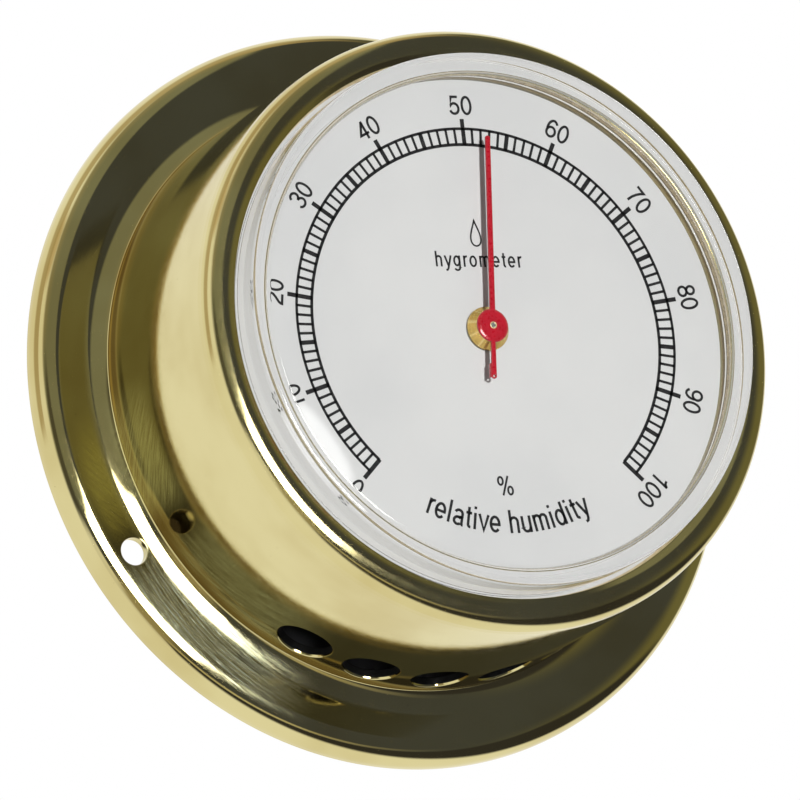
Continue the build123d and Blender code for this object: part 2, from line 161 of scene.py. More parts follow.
def lathe(b, prof, azimuths, skip=None, closed=True):
    """Turns the outline round the axis. Returns the index of vertex (i, k). skip(i, k) leaves a face out."""
    pts = prof.p[:-1] if closed else prof.p
    k = len(azimuths)
    sa, ca = np.sin(np.radians(azimuths)), np.cos(np.radians(azimuths))
    idx = []
    for r, d in pts:
        if r < 1e-9:
            j = b.add([(0, 0, d)])
            idx.append([j] * k)
        else:
            j = b.add(np.stack([r * sa, r * ca, np.full(k, d)], -1))
            idx.append(list(range(j, j + k)))
    if closed:
        idx.append(idx[0])
    nn = prof.normals()
    first = None
    for i in range(len(prof.seg)):
        n0, n1 = nn[i]
        mat = prof.seg[i][1]
        on0, on1 = prof.p[i][0] < 1e-9, prof.p[i + 1][0] < 1e-9
        if on0 and on1:
            continue
        N0 = np.stack([n0[0] * sa, n0[0] * ca, np.full(k, n0[1])], -1)
        N1 = np.stack([n1[0] * sa, n1[0] * ca, np.full(k, n1[1])], -1)
        for a in range(k):
            c = (a + 1) % k
            if skip and skip(i, a):
                continue
            if on0:
                f, q = [idx[i][a], idx[i + 1][a], idx[i + 1][c]], [N0[a], N1[a], N1[c]]
            elif on1:
                f, q = [idx[i][a], idx[i + 1][a], idx[i][c]], [N0[a], N1[a], N0[c]]
            else:
                f = [idx[i][a], idx[i + 1][a], idx[i + 1][c], idx[i][c]]
                q = [N0[a], N1[a], N1[c], N0[c]]
            if first is None:
                m = len(b.f)
                b.face(f, q, mat)
                first = list(b.f[m]) != f
            else:
                if first:
                    f, q = f[::-1], q[::-1]
                b.f.append(tuple(f))
                b.n.extend(q)
                b.m.append(mat)
    return idx


def even(n):
    return [360.0 * i / n for i in range(n)]


def hole(b, origin, U, V, W, h_out, h_in, loop_out, loop_in, rh, e_out, e_in, rings=6, mat_in=0,
         mat_bore=0, taper=0.0, lip=0.0):
    """Joins a gap in an outer surface and one in an inner surface by a rounded round hole.
    Local coordinates u, v lie across the hole and w along it; both surfaces are heights w(u, v)."""
    O, U, V, W = (np.array(x, float) for x in (origin, U, V, W))

    def local(i):
        p = np.array(b.v[i]) - O
        return np.array([p @ U, p @ V])

    def pos(uv, w):
        return O + uv[0] * U + uv[1] * V + w * W

    def slope(h, uv, sign):
        e = 1e-4
        du = (h(uv[0] + e, uv[1]) - h(uv[0] - e, uv[1])) / (2 * e)
        dv = (h(uv[0], uv[1] + e) - h(uv[0], uv[1] - e)) / (2 * e)
        n = (-du * U - dv * V + W) * sign
        return n / np.linalg.norm(n)

    def surface_rings(h, loop, sign, r_edge):
        base = [local(i) for i in loop]
        ang = [atan2(q[1], q[0]) for q in base]
        out = [(list(loop), [slope(h, q, sign) for q in base])]
        for j in range(1, rings + 1):
            t = 1 - (1 - j / rings) ** 1.35
            uvs = [q * (1 - t) + r_edge * np.array([cos(a), sin(a)]) * t for q, a in zip(base, ang)]
            i0 = b.add([pos(uv, h(uv[0], uv[1])) for uv in uvs])
            out.append((list(range(i0, i0 + len(loop))), [slope(h, uv, sign) for uv in uvs]))
        return out, ang

    def round_rings(h, ang, sign, r_edge, e, last_n, turn):
        out = []
        for j in range(1, 6):
            s = radians(turn * j / 5)
            ids, ns = [], []
            for a, n in zip(ang, last_n):
                c = np.array([cos(a), sin(a)])
                edge = c * r_edge
                uv = c * (r_edge - e * sin(s))
                w = h(edge[0], edge[1]) - sign * e * (1 - cos(s))
                ids.append(b.add([pos(uv, w)]))
                inward = -(c[0] * U + c[1] * V)
                q = n * cos(s) + inward * sin(s)
                ns.append(q / np.linalg.norm(q))
            out.append((ids, ns))
        return out

    rh_in = rh - (h_out(0, 0) - h_in(0, 0) - e_out) * tan(radians(taper))
    ro, ang_o = surface_rings(h_out, loop_out, 1, rh + e_out)
    ro += round_rings(h_out, ang_o, 1, rh + e_out, e_out, ro[-1][1], 90 - taper)
    ri, ang_i = surface_rings(h_in, loop_in, -1, rh_in + e_in)
    ri += round_rings(h_in, ang_i, -1, rh_in + e_in, e_in, ri[-1][1], 90 + taper)
    n = len(loop_out)
    if lip:
        k = lip * tan(radians(taper))
        ids = [b.add([np.array(b.v[i]) - lip * W - k * (cos(q) * U + sin(q) * V)]) for i, q in zip(ro[-1][0], ang_o)]
        ro.append((ids, ro[-1][1]))
    rest = mat_in if lip else mat_bore
    for rr, mat, edge in ((ro, 0, mat_bore), (ri, mat_in, rest)):
        for j in range(len(rr) - 1):
            (i0, n0), (i1, n1) = rr[j], rr[j + 1]
            for a in range(n):
                c = (a + 1) % n
                b.face([i0[a], i0[c], i1[c], i1[a]], [n0[a], n0[c], n1[c], n1[a]], mat if j < rings else edge)
    (i0, n0), (i1, n1) = ro[-1], ri[-1]
    for a in range(n):
        c = (a + 1) % n
        b.face([i0[a], i0[c], i1[c], i1[a]], [n0[a], n0[c], n1[c], n1[a]], rest)


def mesh_object(name, verts, faces, material, body, replaces=(), sharp=None):
    """verts in mm as (x, y, d)."""
    me = bpy.data.meshes.new(name)
    me.from_pydata(row(np.array(verts, float)).tolist(), [], faces)
    me.materials.append(material)
    me.update()
    if sharp:
        me.polygons.foreach_set("use_smooth", [True] * len(me.polygons))
        me.set_sharp_from_angle(angle=radians(sharp))
    o = bpy.data.objects.new(name, me)
    scene.collection.objects.link(o)
    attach(o, body)
    if replaces:
        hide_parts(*replaces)
    return o


# ------------------------------------------------------------------ node tools
class S:
    """A number inside a node tree, with arithmetic."""

    def __init__(self, nt, s):
        self.nt, self.s = nt, s

    def op(self, name, *o, clamp=False):
        n = self.nt.nodes.new("ShaderNodeMath")
        n.operation, n.use_clamp = name, clamp
        for i, x in enumerate((self,) + o):
            if isinstance(x, S):
                self.nt.links.new(x.s, n.inputs[i])
            else:
                n.inputs[i].default_value = x
        return S(self.nt, n.outputs[0])

    def __add__(self, o): return self.op("ADD", o)
    def __sub__(self, o): return self.op("SUBTRACT", o)
    def __mul__(self, o): return self.op("MULTIPLY", o)
    def __truediv__(self, o): return self.op("DIVIDE", o)
    def __radd__(self, o): return self.op("ADD", o)
    def __rmul__(self, o): return self.op("MULTIPLY", o)
    def __neg__(self): return self.op("MULTIPLY", -1.0)
    def max(self, o): return self.op("MAXIMUM", o)
    def min(self, o): return self.op("MINIMUM", o)

    def step(self, a, b, lo=0.0, hi=1.0):
        """Goes smoothly from lo to hi as the value goes from a to b."""
        n = self.nt.nodes.new("ShaderNodeMapRange")
        n.interpolation_type = "SMOOTHSTEP"
        self.nt.links.new(self.s, n.inputs["Value"])
        for k, x in (("From Min", a), ("From Max", b), ("To Min", lo), ("To Max", hi)):
            n.inputs[k].default_value = x
        return S(self.nt, n.outputs["Result"])

    def ramp(self, a, b, lo=0.0, hi=1.0):
        n = self.nt.nodes.new("ShaderNodeMapRange")
        self.nt.links.new(self.s, n.inputs["Value"])
        for k, x in (("From Min", a), ("From Max", b), ("To Min", lo), ("To Max", hi)):
            n.inputs[k].default_value = x
        return S(self.nt, n.outputs["Result"])


def mix(nt, a, b, f):
    """Colour from a to b by f; a and b are colours or sockets."""
    n = nt.nodes.new("ShaderNodeMix")
    n.data_type = "RGBA"
    for x, k in ((a, 6), (b, 7)):
        if isinstance(x, (tuple, list)):
            n.inputs[k].default_value = tuple(x) + (1.0,)
        else:
            nt.links.new(x, n.inputs[k])
    if isinstance(f, S):
        nt.links.new(f.s, n.inputs[0])
    else:
        n.inputs[0].default_value = f
    return n.outputs[2]


def material(name, color, metallic=0.0, roughness=0.5, **consts):
    m = bpy.data.materials.new(name)
    m.use_nodes = True
    nt = m.node_tree
    p = nt.nodes["Principled BSDF"]
    p.inputs["Base Color"].default_value = tuple(color) + (1.0,)
    p.inputs["Metallic"].default_value = metallic
    p.inputs["Roughness"].default_value = roughness
    for k, x in consts.items():
        p.inputs[k.replace("_", " ")].default_value = x
    return m, nt, p


def coords_mm(nt):
    """The surface's own place in millimetres, as a vector socket, and its x, height and depth."""
    t = nt.nodes.new("ShaderNodeTexCoord")
    v = nt.nodes.new("ShaderNodeVectorMath")
    v.operation = "SCALE"
    v.inputs["Scale"].default_value = 1000.0
    nt.links.new(t.outputs["Object"], v.inputs[0])
    s = nt.nodes.new("ShaderNodeSeparateXYZ")
    nt.links.new(v.outputs[0], s.inputs[0])
    return v.outputs[0], S(nt, s.outputs[0]), S(nt, s.outputs[2]), -S(nt, s.outputs[1])


def vec(nt, x, y, z):
    c = nt.nodes.new("ShaderNodeCombineXYZ")
    for i, q in enumerate((x, y, z)):
        if isinstance(q, S):
            nt.links.new(q.s, c.inputs[i])
        else:
            c.inputs[i].default_value = q
    return c.outputs[0]


def noise(nt, v, scale, detail=2.0, rough=0.5, distortion=0.0):
    n = nt.nodes.new("ShaderNodeTexNoise")
    nt.links.new(v, n.inputs["Vector"])
    n.inputs["Scale"].default_value = scale
    n.inputs["Detail"].default_value = detail
    n.inputs["Roughness"].default_value = rough
    n.inputs["Distortion"].default_value = distortion
    return S(nt, n.outputs["Fac"])


def cells(nt, v, scale, randomness=1.0):
    n = nt.nodes.new("ShaderNodeTexVoronoi")
    nt.links.new(v, n.inputs["Vector"])
    n.inputs["Scale"].default_value = scale
    n.inputs["Randomness"].default_value = randomness
    return S(nt, n.outputs["Distance"])


def bump(nt, p, height, mm, strength=1.0, normal=None, socket="Normal"):
    """Bumps by height times mm millimetres."""
    n = nt.nodes.new("ShaderNodeBump")
    n.inputs["Strength"].default_value = strength
    n.inputs["Distance"].default_value = mm / 1000.0
    nt.links.new(height.s, n.inputs["Height"])
    if normal is not None:
        nt.links.new(normal, n.inputs["Normal"])
    nt.links.new(n.outputs[0], p.inputs[socket])
    return n.outputs[0]


def link(nt, s, sock):
    nt.links.new(s.s if isinstance(s, S) else s, sock)


def polar_mm(nt):
    v, x, y, d = coords_mm(nt)
    r = (x * x + y * y).op("SQRT")
    a = x.op("ARCTAN2", y)
    return v, x, y, d, r, a


# ------------------------------------------------------------------- materials
BRASS = (0.665, 0.585, 0.285)


def spots_of(nt, v, scale, size, many):
    """Sparse small round spots, 1 in the middle and 0 outside; many is the share of cells that has one."""
    n = nt.nodes.new("ShaderNodeTexVoronoi")
    nt.links.new(v, n.inputs["Vector"])
    n.inputs["Scale"].default_value = scale
    n.inputs["Randomness"].default_value = 1.0
    c = nt.nodes.new("ShaderNodeSeparateColor")
    nt.links.new(n.outputs["Color"], c.inputs[0])
    keep = S(nt, c.outputs[0]).op("LESS_THAN", many)
    vary = S(nt, c.outputs[1]).ramp(0, 1, 0.4, 1.0)
    return (S(nt, n.outputs["Distance"]) / (vary * size)).step(1.0, 0.35) * keep


def polished_brass(name, wave=1.0, satin=0.0, lined=0.0):
    m, nt, p = material(name, BRASS, 1.0, 0.05)
    v, x, y, d, r, a = polar_mm(nt)
    # tone: faint clouding of the lacquer, warmer and duller in patches
    cloud = noise(nt, v, 0.055, 3, 0.55)
    fine = noise(nt, v, 0.9, 3, 0.6)
    c = mix(nt, (0.705, 0.630, 0.320), (0.610, 0.520, 0.235), cloud.step(0.35, 0.7))
    spots = spots_of(nt, v, 0.30, 0.045, 0.55)
    specks = spots_of(nt, v, 0.85, 0.07, 0.30)
    c = mix(nt, c, (0.30, 0.22, 0.09), (spots * 0.75).max(specks * 0.45))
    # wiped patches low on the left: long scratches on the flange, short slanting ones on the wall; their colour
    # carries painted light, a pale sheen on the flange and a bright glint and glow on the wall
    flat = d.step(4.3, 3.8) * r.step(46.0, 45.0) * a.step(-2.80, -2.55) * a.step(-2.02, -2.22)
    rubbed = noise(nt, vec(nt, a * 5.0, r * 4.2 + a * 16.0, 0.0), 1.0, 4, 0.75)
    upright = d.step(3.9, 5.2) * d.step(15.5, 12.0) * a.step(-2.06, -1.93) * a.step(-1.55, -1.80)
    slant = noise(nt, vec(nt, (a * 38.5 - d * 0.9) * 2.8, (a * 38.5 + d) * 0.10, 0.0), 1.0, 4, 0.72)
    scuffs_and_painted_sheen = flat * rubbed.step(0.30, 0.66)
    scratches_and_painted_glint = upright * slant.step(0.25, 0.75)
    # painted sheen: the flange's scuffs turn pale grey-teal, standing for the sheen the rubbed lacquer throws back
    c = mix(nt, c, (0.60, 0.66, 0.48), scuffs_and_painted_sheen * 0.8)
    # painted glint: the wall's slanting scratches turn bright yellow
    c = mix(nt, c, (0.98, 0.94, 0.30), scratches_and_painted_glint * 0.8)
    link(nt, c, p.inputs["Base Color"])
    # painted glow: emission over the lower left wall patch, strongest on its scratches, though brass gives no light
    link(nt, mix(nt, (0.0, 0.0, 0.0), (0.115, 0.10, 0.026), (scratches_and_painted_glint * 0.7 + upright * 0.3)), p.inputs["Emission Color"])
    p.inputs["Emission Strength"].default_value = 1.0
    # buffing: curved scratches that sweep round the axis, and a slow waviness
    swirl = vec(nt, a * 26.0 + r * 0.55, r * 0.8 - a * 9.0, d * 0.8)
    s1 = noise(nt, swirl, 1.6, 4, 0.7, 0.3)
    along = vec(nt, a * 3.0, r * 9.0, d * 9.0)
    s2 = noise(nt, along, 1.3, 3, 0.65)
    slow = noise(nt, v, 0.11, 1, 0.4)
    h = s1 * 0.0019 + s2 * (0.0009 / wave) + slow * (0.020 * wave) + (spots.max(specks)) * 0.004
    h = h + (rubbed * flat + slant * upright * 0.12) * 0.004
    if lined:
        h = h + noise(nt, vec(nt, a * 1.5, r * 5.0, d * 5.0), 1.0, 3, 0.6) * lined
    bump(nt, p, h, 1.0)
    rough = fine.ramp(0.3, 0.7, 0.045 + satin, 0.085 + satin) + s1.step(0.52, 0.74) * 0.035
    rough = rough + scuffs_and_painted_sheen * 0.20 + scratches_and_painted_glint * 0.03
    link(nt, (scuffs_and_painted_sheen * 0.30 + scratches_and_painted_glint * 0.60) * -1.0 + 1.0, p.inputs["Metallic"])
    link(nt, rough, p.inputs["Roughness"])
    return m


def satin_brass(name, tint=(0.62, 0.50, 0.22), rough=0.32, lines=6.0):
    m, nt, p = material(name, tint, 1.0, rough)
    v, x, y, d, r, a = polar_mm(nt)
    grain = noise(nt, vec(nt, a * 2.0, r * lines, d * lines), 1.6, 4, 0.65)
    cloud = noise(nt, v, 0.16, 3, 0.6)
    c = mix(nt, tuple(t * 1.08 for t in tint), tuple(t * 0.72 for t in tint), cloud.step(0.35, 0.75))
    link(nt, c, p.inputs["Base Color"])
    link(nt, grain.ramp(0.25, 0.75, rough - 0.08, rough + 0.12), p.inputs["Roughness"])
    bump(nt, p, grain, 0.012)
    return m


def turned_metal(name, tint, rough, at=(0.0, 0.0), pitch=7.0, metallic=1.0, painted_fan=0.0):
    """Lathe-turned part: fine rings round its own axis."""
    m, nt, p = material(name, tint, metallic, rough)
    v, x, y, d = coords_mm(nt)
    dx, dy = x - at[0], y - at[1]
    r = (dx * dx + dy * dy).op("SQRT")
    a = dx.op("ARCTAN2", dy)
    ring = noise(nt, vec(nt, r * pitch, d * pitch, a * 0.25), 1.4, 3, 0.7)
    cloud = noise(nt, v, 0.8, 2, 0.5)
    c = mix(nt, tuple(t * 1.05 for t in tint), tuple(t * 0.78 for t in tint), cloud.step(0.3, 0.75))
    if painted_fan:
        # painted reflection: the fan of light and dark streaks that a turned cone reflects round its axis, painted
        # into the base colour
        fan_reflection = noise(nt, vec(nt, a * 1.9, 0.0, 0.0), 1.0, 3, 0.7)
        c = mix(nt, c, (0.98, 0.80, 0.40), fan_reflection.step(0.50, 0.62) * painted_fan)
        c = mix(nt, c, (0.30, 0.18, 0.05), fan_reflection.step(0.46, 0.34) * painted_fan)
    link(nt, c, p.inputs["Base Color"])
    link(nt, ring.ramp(0.25, 0.75, rough - 0.06, rough + 0.10), p.inputs["Roughness"])
    bump(nt, p, ring, 0.010)
    return m


def drawn_steel(name, tint=(0.50, 0.50, 0.52), rough=0.28, scale=5.0):
    m, nt, p = material(name, tint, 1.0, rough)
    v, x, y, d = coords_mm(nt)
    grain = noise(nt, vec(nt, x * 0.6, y * scale, d * scale), 1.2, 4, 0.7)
    cloud = noise(nt, v, 0.5, 3, 0.6)
    c = mix(nt, tuple(t * 1.1 for t in tint), tuple(t * 0.75 for t in tint), cloud.step(0.35, 0.7))
    link(nt, c, p.inputs["Base Color"])
    link(nt, grain.ramp(0.25, 0.75, rough - 0.06, rough + 0.12), p.inputs["Roughness"])
    bump(nt, p, grain, 0.008)
    return m


def moulding(name, tint=(0.022, 0.022, 0.024), rough=0.48, grain_mm=0.02):
    m, nt, p = material(name, tint, 0.0, rough, Specular_IOR_Level=0.45)
    v, x, y, d = coords_mm(nt)
    spark = cells(nt, v, 2.6)
    cloud = noise(nt, v, 0.09, 4, 0.6)
    fine = noise(nt, v, 6.0, 3, 0.6)
    c = mix(nt, tint, tuple(t * 1.7 + 0.004 for t in tint), cloud.step(0.4, 0.8))
    link(nt, c, p.inputs["Base Color"])
    link(nt, (cloud * 0.6 + fine * 0.4).ramp(0.3, 0.7, rough - 0.08, rough + 0.14), p.inputs["Roughness"])
    bump(nt, p, spark * 0.5 + fine * 0.5, grain_mm)
    return m


def dial_lacquer():
    m, nt, p = material("dial_lacquer", (0.64, 0.64, 0.63), 0.0, 0.55, Specular_IOR_Level=0.3)
    v, x, y, d, r, a = polar_mm(nt)
    cloud = noise(nt, v, 0.05, 3, 0.55)
    fine = noise(nt, v, 3.5, 3, 0.6)
    c = mix(nt, (0.655, 0.655, 0.645), (0.615, 0.617, 0.612), cloud.step(0.3, 0.7))
    specks = spots_of(nt, v, 0.22, 0.035, 0.35)
    dust = spots_of(nt, v, 0.5, 0.022, 0.4)
    c = mix(nt, c, (0.33, 0.30, 0.22), (specks * 0.6).max(dust * 0.35))
    link(nt, c, p.inputs["Base Color"])
    link(nt, fine.ramp(0.3, 0.7, 0.48, 0.62), p.inputs["Roughness"])
    bump(nt, p, fine, 0.004)
    return m


def print_ink():
    m, nt, p = material("print_ink", (0.012, 0.012, 0.013), 0.0, 0.5, Specular_IOR_Level=0.3)
    v, x, y, d = coords_mm(nt)
    n = noise(nt, v, 2.2, 4, 0.6)
    c = mix(nt, (0.010, 0.010, 0.011), (0.030, 0.029, 0.028), n.step(0.45, 0.8))
    link(nt, c, p.inputs["Base Color"])
    link(nt, n.ramp(0.3, 0.7, 0.42, 0.58), p.inputs["Roughness"])
    bump(nt, p, n, 0.003)
    return m


def crimson():
    m, nt, p = material("crimson_lacquer", (0.46, 0.010, 0.022), 0.0, 0.30,
                        Specular_IOR_Level=0.5, Coat_Weight=1.0, Coat_Roughness=0.04)
    v, x, y, d = coords_mm(nt)
    n = noise(nt, v, 0.8, 3, 0.6)
    orange_peel = noise(nt, v, 3.0, 2, 0.5)
    c = mix(nt, (0.48, 0.010, 0.024), (0.40, 0.007, 0.018), n.step(0.35, 0.75))
    dust = spots_of(nt, v, 1.3, 0.05, 0.35)
    c = mix(nt, c, (0.70, 0.35, 0.30), dust * 0.4)
    link(nt, c, p.inputs["Base Color"])
    link(nt, orange_peel.ramp(0.3, 0.7, 0.24, 0.36), p.inputs["Roughness"])
    bump(nt, p, orange_peel, 0.006)
    return m


def acrylic(name, shine):
    m, nt, p = material(name, (0.985, 0.99, 0.99), 0.0, 0.0, IOR=1.49, Transmission_Weight=1.0)
    p.inputs["Specular Tint"].default_value = (shine, shine, shine, 1.0)
    v, x, y, d, r, a = polar_mm(nt)
    flow = noise(nt, vec(nt, a * 2.0, d * 0.9, r * 0.2), 1.0, 2, 0.5)
    wipe = noise(nt, vec(nt, a * 1.5, d * 7.0, r * 3.0), 1.0, 3, 0.6)
    side = r.step(31.6, 33.2)
    bump(nt, p, (flow * 0.003 + wipe * 0.0002) * side, 1.0)
    spots = spots_of(nt, v, 0.35, 0.04, 0.3)
    link(nt, (wipe.step(0.5, 0.8) * 0.006 * side) + spots * 0.25, p.inputs["Roughness"])
    return m


def gasket_finish():
    m, nt, p = material("olive_gasket", (0.27, 0.225, 0.145), 0.0, 0.7)
    v, x, y, d = coords_mm(nt)
    n = noise(nt, v, 1.4, 3, 0.6)
    c = mix(nt, (0.30, 0.25, 0.16), (0.22, 0.18, 0.11), n.step(0.35, 0.75))
    link(nt, c, p.inputs["Base Color"])
    # painted glow: the gasket's own colour also feeds emission, so it shines though it is no lamp and brightens the
    # band beside the dial seen through the crystal wall
    link(nt, c, p.inputs["Emission Color"])
    p.inputs["Emission Strength"].default_value = 0.75
    link(nt, n.ramp(0.3, 0.7, 0.6, 0.8), p.inputs["Roughness"])
    bump(nt, p, n, 0.02)
    return m


def hair_fibre():
    m, nt, p = material("hair_fibre", (0.60, 0.50, 0.32), 0.0, 0.42, Specular_IOR_Level=0.6)
    v, x, y, d = coords_mm(nt)
    n = noise(nt, vec(nt, x * 14.0, y * 0.4, d * 14.0), 1.0, 4, 0.7)
    c = mix(nt, (0.66, 0.56, 0.38), (0.38, 0.29, 0.16), n.step(0.3, 0.75))
    link(nt, c, p.inputs["Base Color"])
    link(nt, n.ramp(0.3, 0.7, 0.34, 0.52), p.inputs["Roughness"])
    bump(nt, p, n, 0.02)
    return m


M_BRASS = polished_brass("polished_brass_lacquered")
M_BEZEL = polished_brass("polished_brass_bezel", wave=0.5, satin=0.055, lined=0.004)
M_UNDER = satin_brass("spun_brass_inside", (0.50, 0.40, 0.17), 0.34, 5.0)
# painted shade: the case's inside and the inner part of each vent bore are black with almost no reflection, standing
# for the shade seen through the vents
M_DARK = moulding("black_inside_painted_shade", (0.012, 0.012, 0.012), 0.55, 0.02)
M_DARK.node_tree.nodes["Principled BSDF"].inputs["Specular IOR Level"].default_value = 0.06
M_COVER = moulding("black_cover_moulding", (0.024, 0.024, 0.026), 0.46, 0.025)
M_RUBBER = gasket_finish()
M_DIAL = dial_lacquer()
M_INK = print_ink()
M_RED = crimson()
M_CLEAR = acrylic("clear_acrylic", 1.0)
M_FLAT = acrylic("clear_acrylic_flat", 0.05)
M_HUB = turned_metal("turned_brass_hub", (0.78, 0.54, 0.17), 0.20, painted_fan=0.7)
M_SPIGOT = turned_metal("riveted_brass", (0.90, 0.74, 0.42), 0.35, metallic=0.45)
M_MOVE = satin_brass("stamped_brass", (0.64, 0.49, 0.21), 0.30, 4.0)
M_STEEL = drawn_steel("drawn_steel")
M_SCREW = drawn_steel("bright_screw_steel", (0.60, 0.60, 0.62), 0.22, 8.0)
M_ARBOR = drawn_steel("polished_arbor_steel", (0.60, 0.59, 0.58), 0.34, 9.0)
M_HAIR = hair_fibre()

# ---------------------------------------------------------------------- shell
FR, RR, FF = 47.5, 3.0, 3.6
SH, FIL, CORNER, TURN = 1.2, 5.0, 0.35, radians(35)
WR, WF = 38.5, 31.2
WI = WR - SH
FIN = WR + CORNER + (FIL - CORNER) * sin(TURN)
rim_c, fil_c = (FR - RR, FF - RR), (FIN, FF + FIL)
cor_c = (WR + CORNER, fil_c[1] - (FIL - CORNER) * cos(TURN))


def foot_knee(rad):
    """Where the foot's two fillets meet, on either side of the sheet."""
    return (fil_c[0] - rad * sin(TURN), fil_c[1] - rad * cos(TURN))


def on(c, rad, ang):
    """Point on a circle, at ang degrees from the +radius direction, counter-clockwise."""
    return (c[0] + rad * cos(radians(ang)), c[1] + rad * sin(radians(ang)))


E = 0.18
P = Profile((FR - SH + E, 0))
P.line((FR - E, 0)).arc((FR - E, E), (FR, E), 4).line((FR, rim_c[1]))
P.arc(rim_c, on(rim_c, RR, 72), 28).mark("so0")
P.arc(rim_c, (rim_c[0], FF), 6).line((FIN, FF), 6)
P.arc(fil_c, on(fil_c, FIL, 270 - 22.5), 6).mark("so1")
P.arc(fil_c, foot_knee(FIL), 8).arc(cor_c, (WR, cor_c[1]), 10).line((WR, 5.0)).mark("vo0").line((WR, 14.4), 14).mark("vo1")
P.line((WR, 25), 6).line((WR, WF), 4)
P.line((WI, WF), 1, 1).line((WI, 28.2), 2, 1).line((WI + 0.55, 28.2), 1, 1).line((WI + 0.55, 27.1), 1, 1)
P.line((WI, 27.1), 1, 1).line((WI, 14.4), 4, 1).mark("vi0").line((WI, 5.0), 14, 1).mark("vi1").line((WI, cor_c[1]), 1, 2)
FI = FIL + SH
P.arc(cor_c, foot_knee(FI), 10, 2).arc(fil_c, on(fil_c, FI, 270 - 15), 8, 2).mark("si0")
P.arc(fil_c, (FIN, FF - SH), 6, 2).line((rim_c[0], FF - SH), 6, 2)
P.arc(rim_c, on(rim_c, RR - SH, 90 - 31.1), 6, 2).mark("si1")
P.arc(rim_c, (FR - SH, rim_c[1]), 14, 2).line((FR - SH, E), 1, 2).arc((FR - SH + E, E), (FR - SH + E, 0), 4, 2)

SCREW_AZ, SCREW_PCR, SCREW_R = (1.1, 121.1, 241.1), 42.5, 1.75
VENT_AZ = [180.6 + 14.0 * k for k in (-2, -1, 0, 1, 2)]
VENT_D, VENT_R, VENT_OPEN = 9.7, 3.6, 18.0
cuts = [(-3.4, 5.6, 12), (5.6, 116.6, 148), (116.6, 125.6, 12), (125.6, 145.6, 26)]
cuts += [(a - 7.0, a + 7.0, 18) for a in VENT_AZ]
cuts += [(215.6, 236.6, 30), (236.6, 245.6, 12), (245.6, 356.6, 148)]
AZ, block = [], {}
for lo, hi, n in cuts:
    block[round((lo + hi) / 2, 3)] = (len(AZ), n)
    AZ += [lo + (hi - lo) * i / n for i in range(n)]
mk = P.marks
skips = []
for a in SCREW_AZ:
    k0, n = block[a]
    skips += [(mk["so0"], mk["so1"], k0, k0 + n), (mk["si0"], mk["si1"], k0, k0 + n)]
for a in VENT_AZ:
    k0, n = block[round(a, 3)]
    skips += [(mk["vo0"], mk["vo1"], k0, k0 + n), (mk["vi0"], mk["vi1"], k0, k0 + n)]


def left_out(i, k):
    return any(s[0] <= i < s[1] and s[2] <= k < s[3] for s in skips)


B = Builder()
ID = lathe(B, P, AZ, left_out)


def ring_of(i0, i1, k0, k1):
    """Vertex indices round a gap in the grid, counter-clockwise in (azimuth, outline)."""
    K = len(AZ)
    out = [ID[i0][k % K] for k in range(k0, k1)]
    out += [ID[i][k1 % K] for i in range(i0, i1)]
    out += [ID[i1][k % K] for k in range(k1, k0, -1)]
    out += [ID[i][k0 % K] for i in range(i1, i0, -1)]
    return out


def ordered(loop, origin, U, V):
    """The loop turned so that it runs anticlockwise in (u, v) from the lowest angle."""
    O, U, V = np.array(origin, float), np.array(U, float), np.array(V, float)
    ang = []
    for i in loop:
        p = np.array(B.v[i]) - O
        ang.append(atan2(p @ V, p @ U))
    n = len(loop)
    turn = sum(((ang[(j + 1) % n] - ang[j] + pi) % (2 * pi)) - pi for j in range(n))
    if turn < 0:
        loop, ang = loop[::-1], ang[::-1]
    j = min(range(n), key=lambda q: ang[q])
    return loop[j:] + loop[:j]


def flange_out(rr):
    if rr > rim_c[0]:
        return rim_c[1] + sqrt(max(RR * RR - (rr - rim_c[0]) ** 2, 0))
    if rr < FIN:
        return fil_c[1] - sqrt(max(FIL * FIL - (FIN - rr) ** 2, 0))
    return FF


def flange_in(rr):
    if rr > rim_c[0]:
        return rim_c[1] + sqrt(max((RR - SH) ** 2 - (rr - rim_c[0]) ** 2, 0))
    if rr < FIN:
        return fil_c[1] - sqrt(max(FI * FI - (FIN - rr) ** 2, 0))
    return FF - SH


for a in SCREW_AZ:
    s, c = sin(radians(a)), cos(radians(a))
    o, U, V, W = (SCREW_PCR * s, SCREW_PCR * c, 0), (c, -s, 0), (s, c, 0), (0, 0, 1)
    k0, n = block[a]
    hole(B, o, U, V, W,
         lambda u, v: flange_out(hypot(u, SCREW_PCR + v)), lambda u, v: flange_in(hypot(u, SCREW_PCR + v)),
         ordered(ring_of(mk["so0"], mk["so1"], k0, k0 + n), o, U, V),
         ordered(ring_of(mk["si0"], mk["si1"], k0, k0 + n), o, U, V), SCREW_R, 0.14, 0.06, mat_in=2, mat_bore=0)


# painted shade: past a 0.16 mm brass lip each vent bore takes the black inside material
for a in VENT_AZ:
    s, c = sin(radians(a)), cos(radians(a))
    o, U, V, W = (0, 0, VENT_D), (c, -s, 0), (0, 0, 1), (s, c, 0)
    k0, n = block[round(a, 3)]
    hole(B, o, U, V, W,
         lambda u, v: sqrt(WR ** 2 - u * u), lambda u, v: sqrt(WI ** 2 - u * u),
         ordered(ring_of(mk["vo0"], mk["vo1"], k0, k0 + n), o, U, V),
         ordered(ring_of(mk["vi0"], mk["vi1"], k0, k0 + n), o, U, V), VENT_R, 0.2, 0.06, mat_in=1, mat_bore=0,
         taper=VENT_OPEN, lip=0.16)
shell = B.build("case_shell_spun", [M_BRASS, M_DARK, M_UNDER], "root", ["case_shell"])

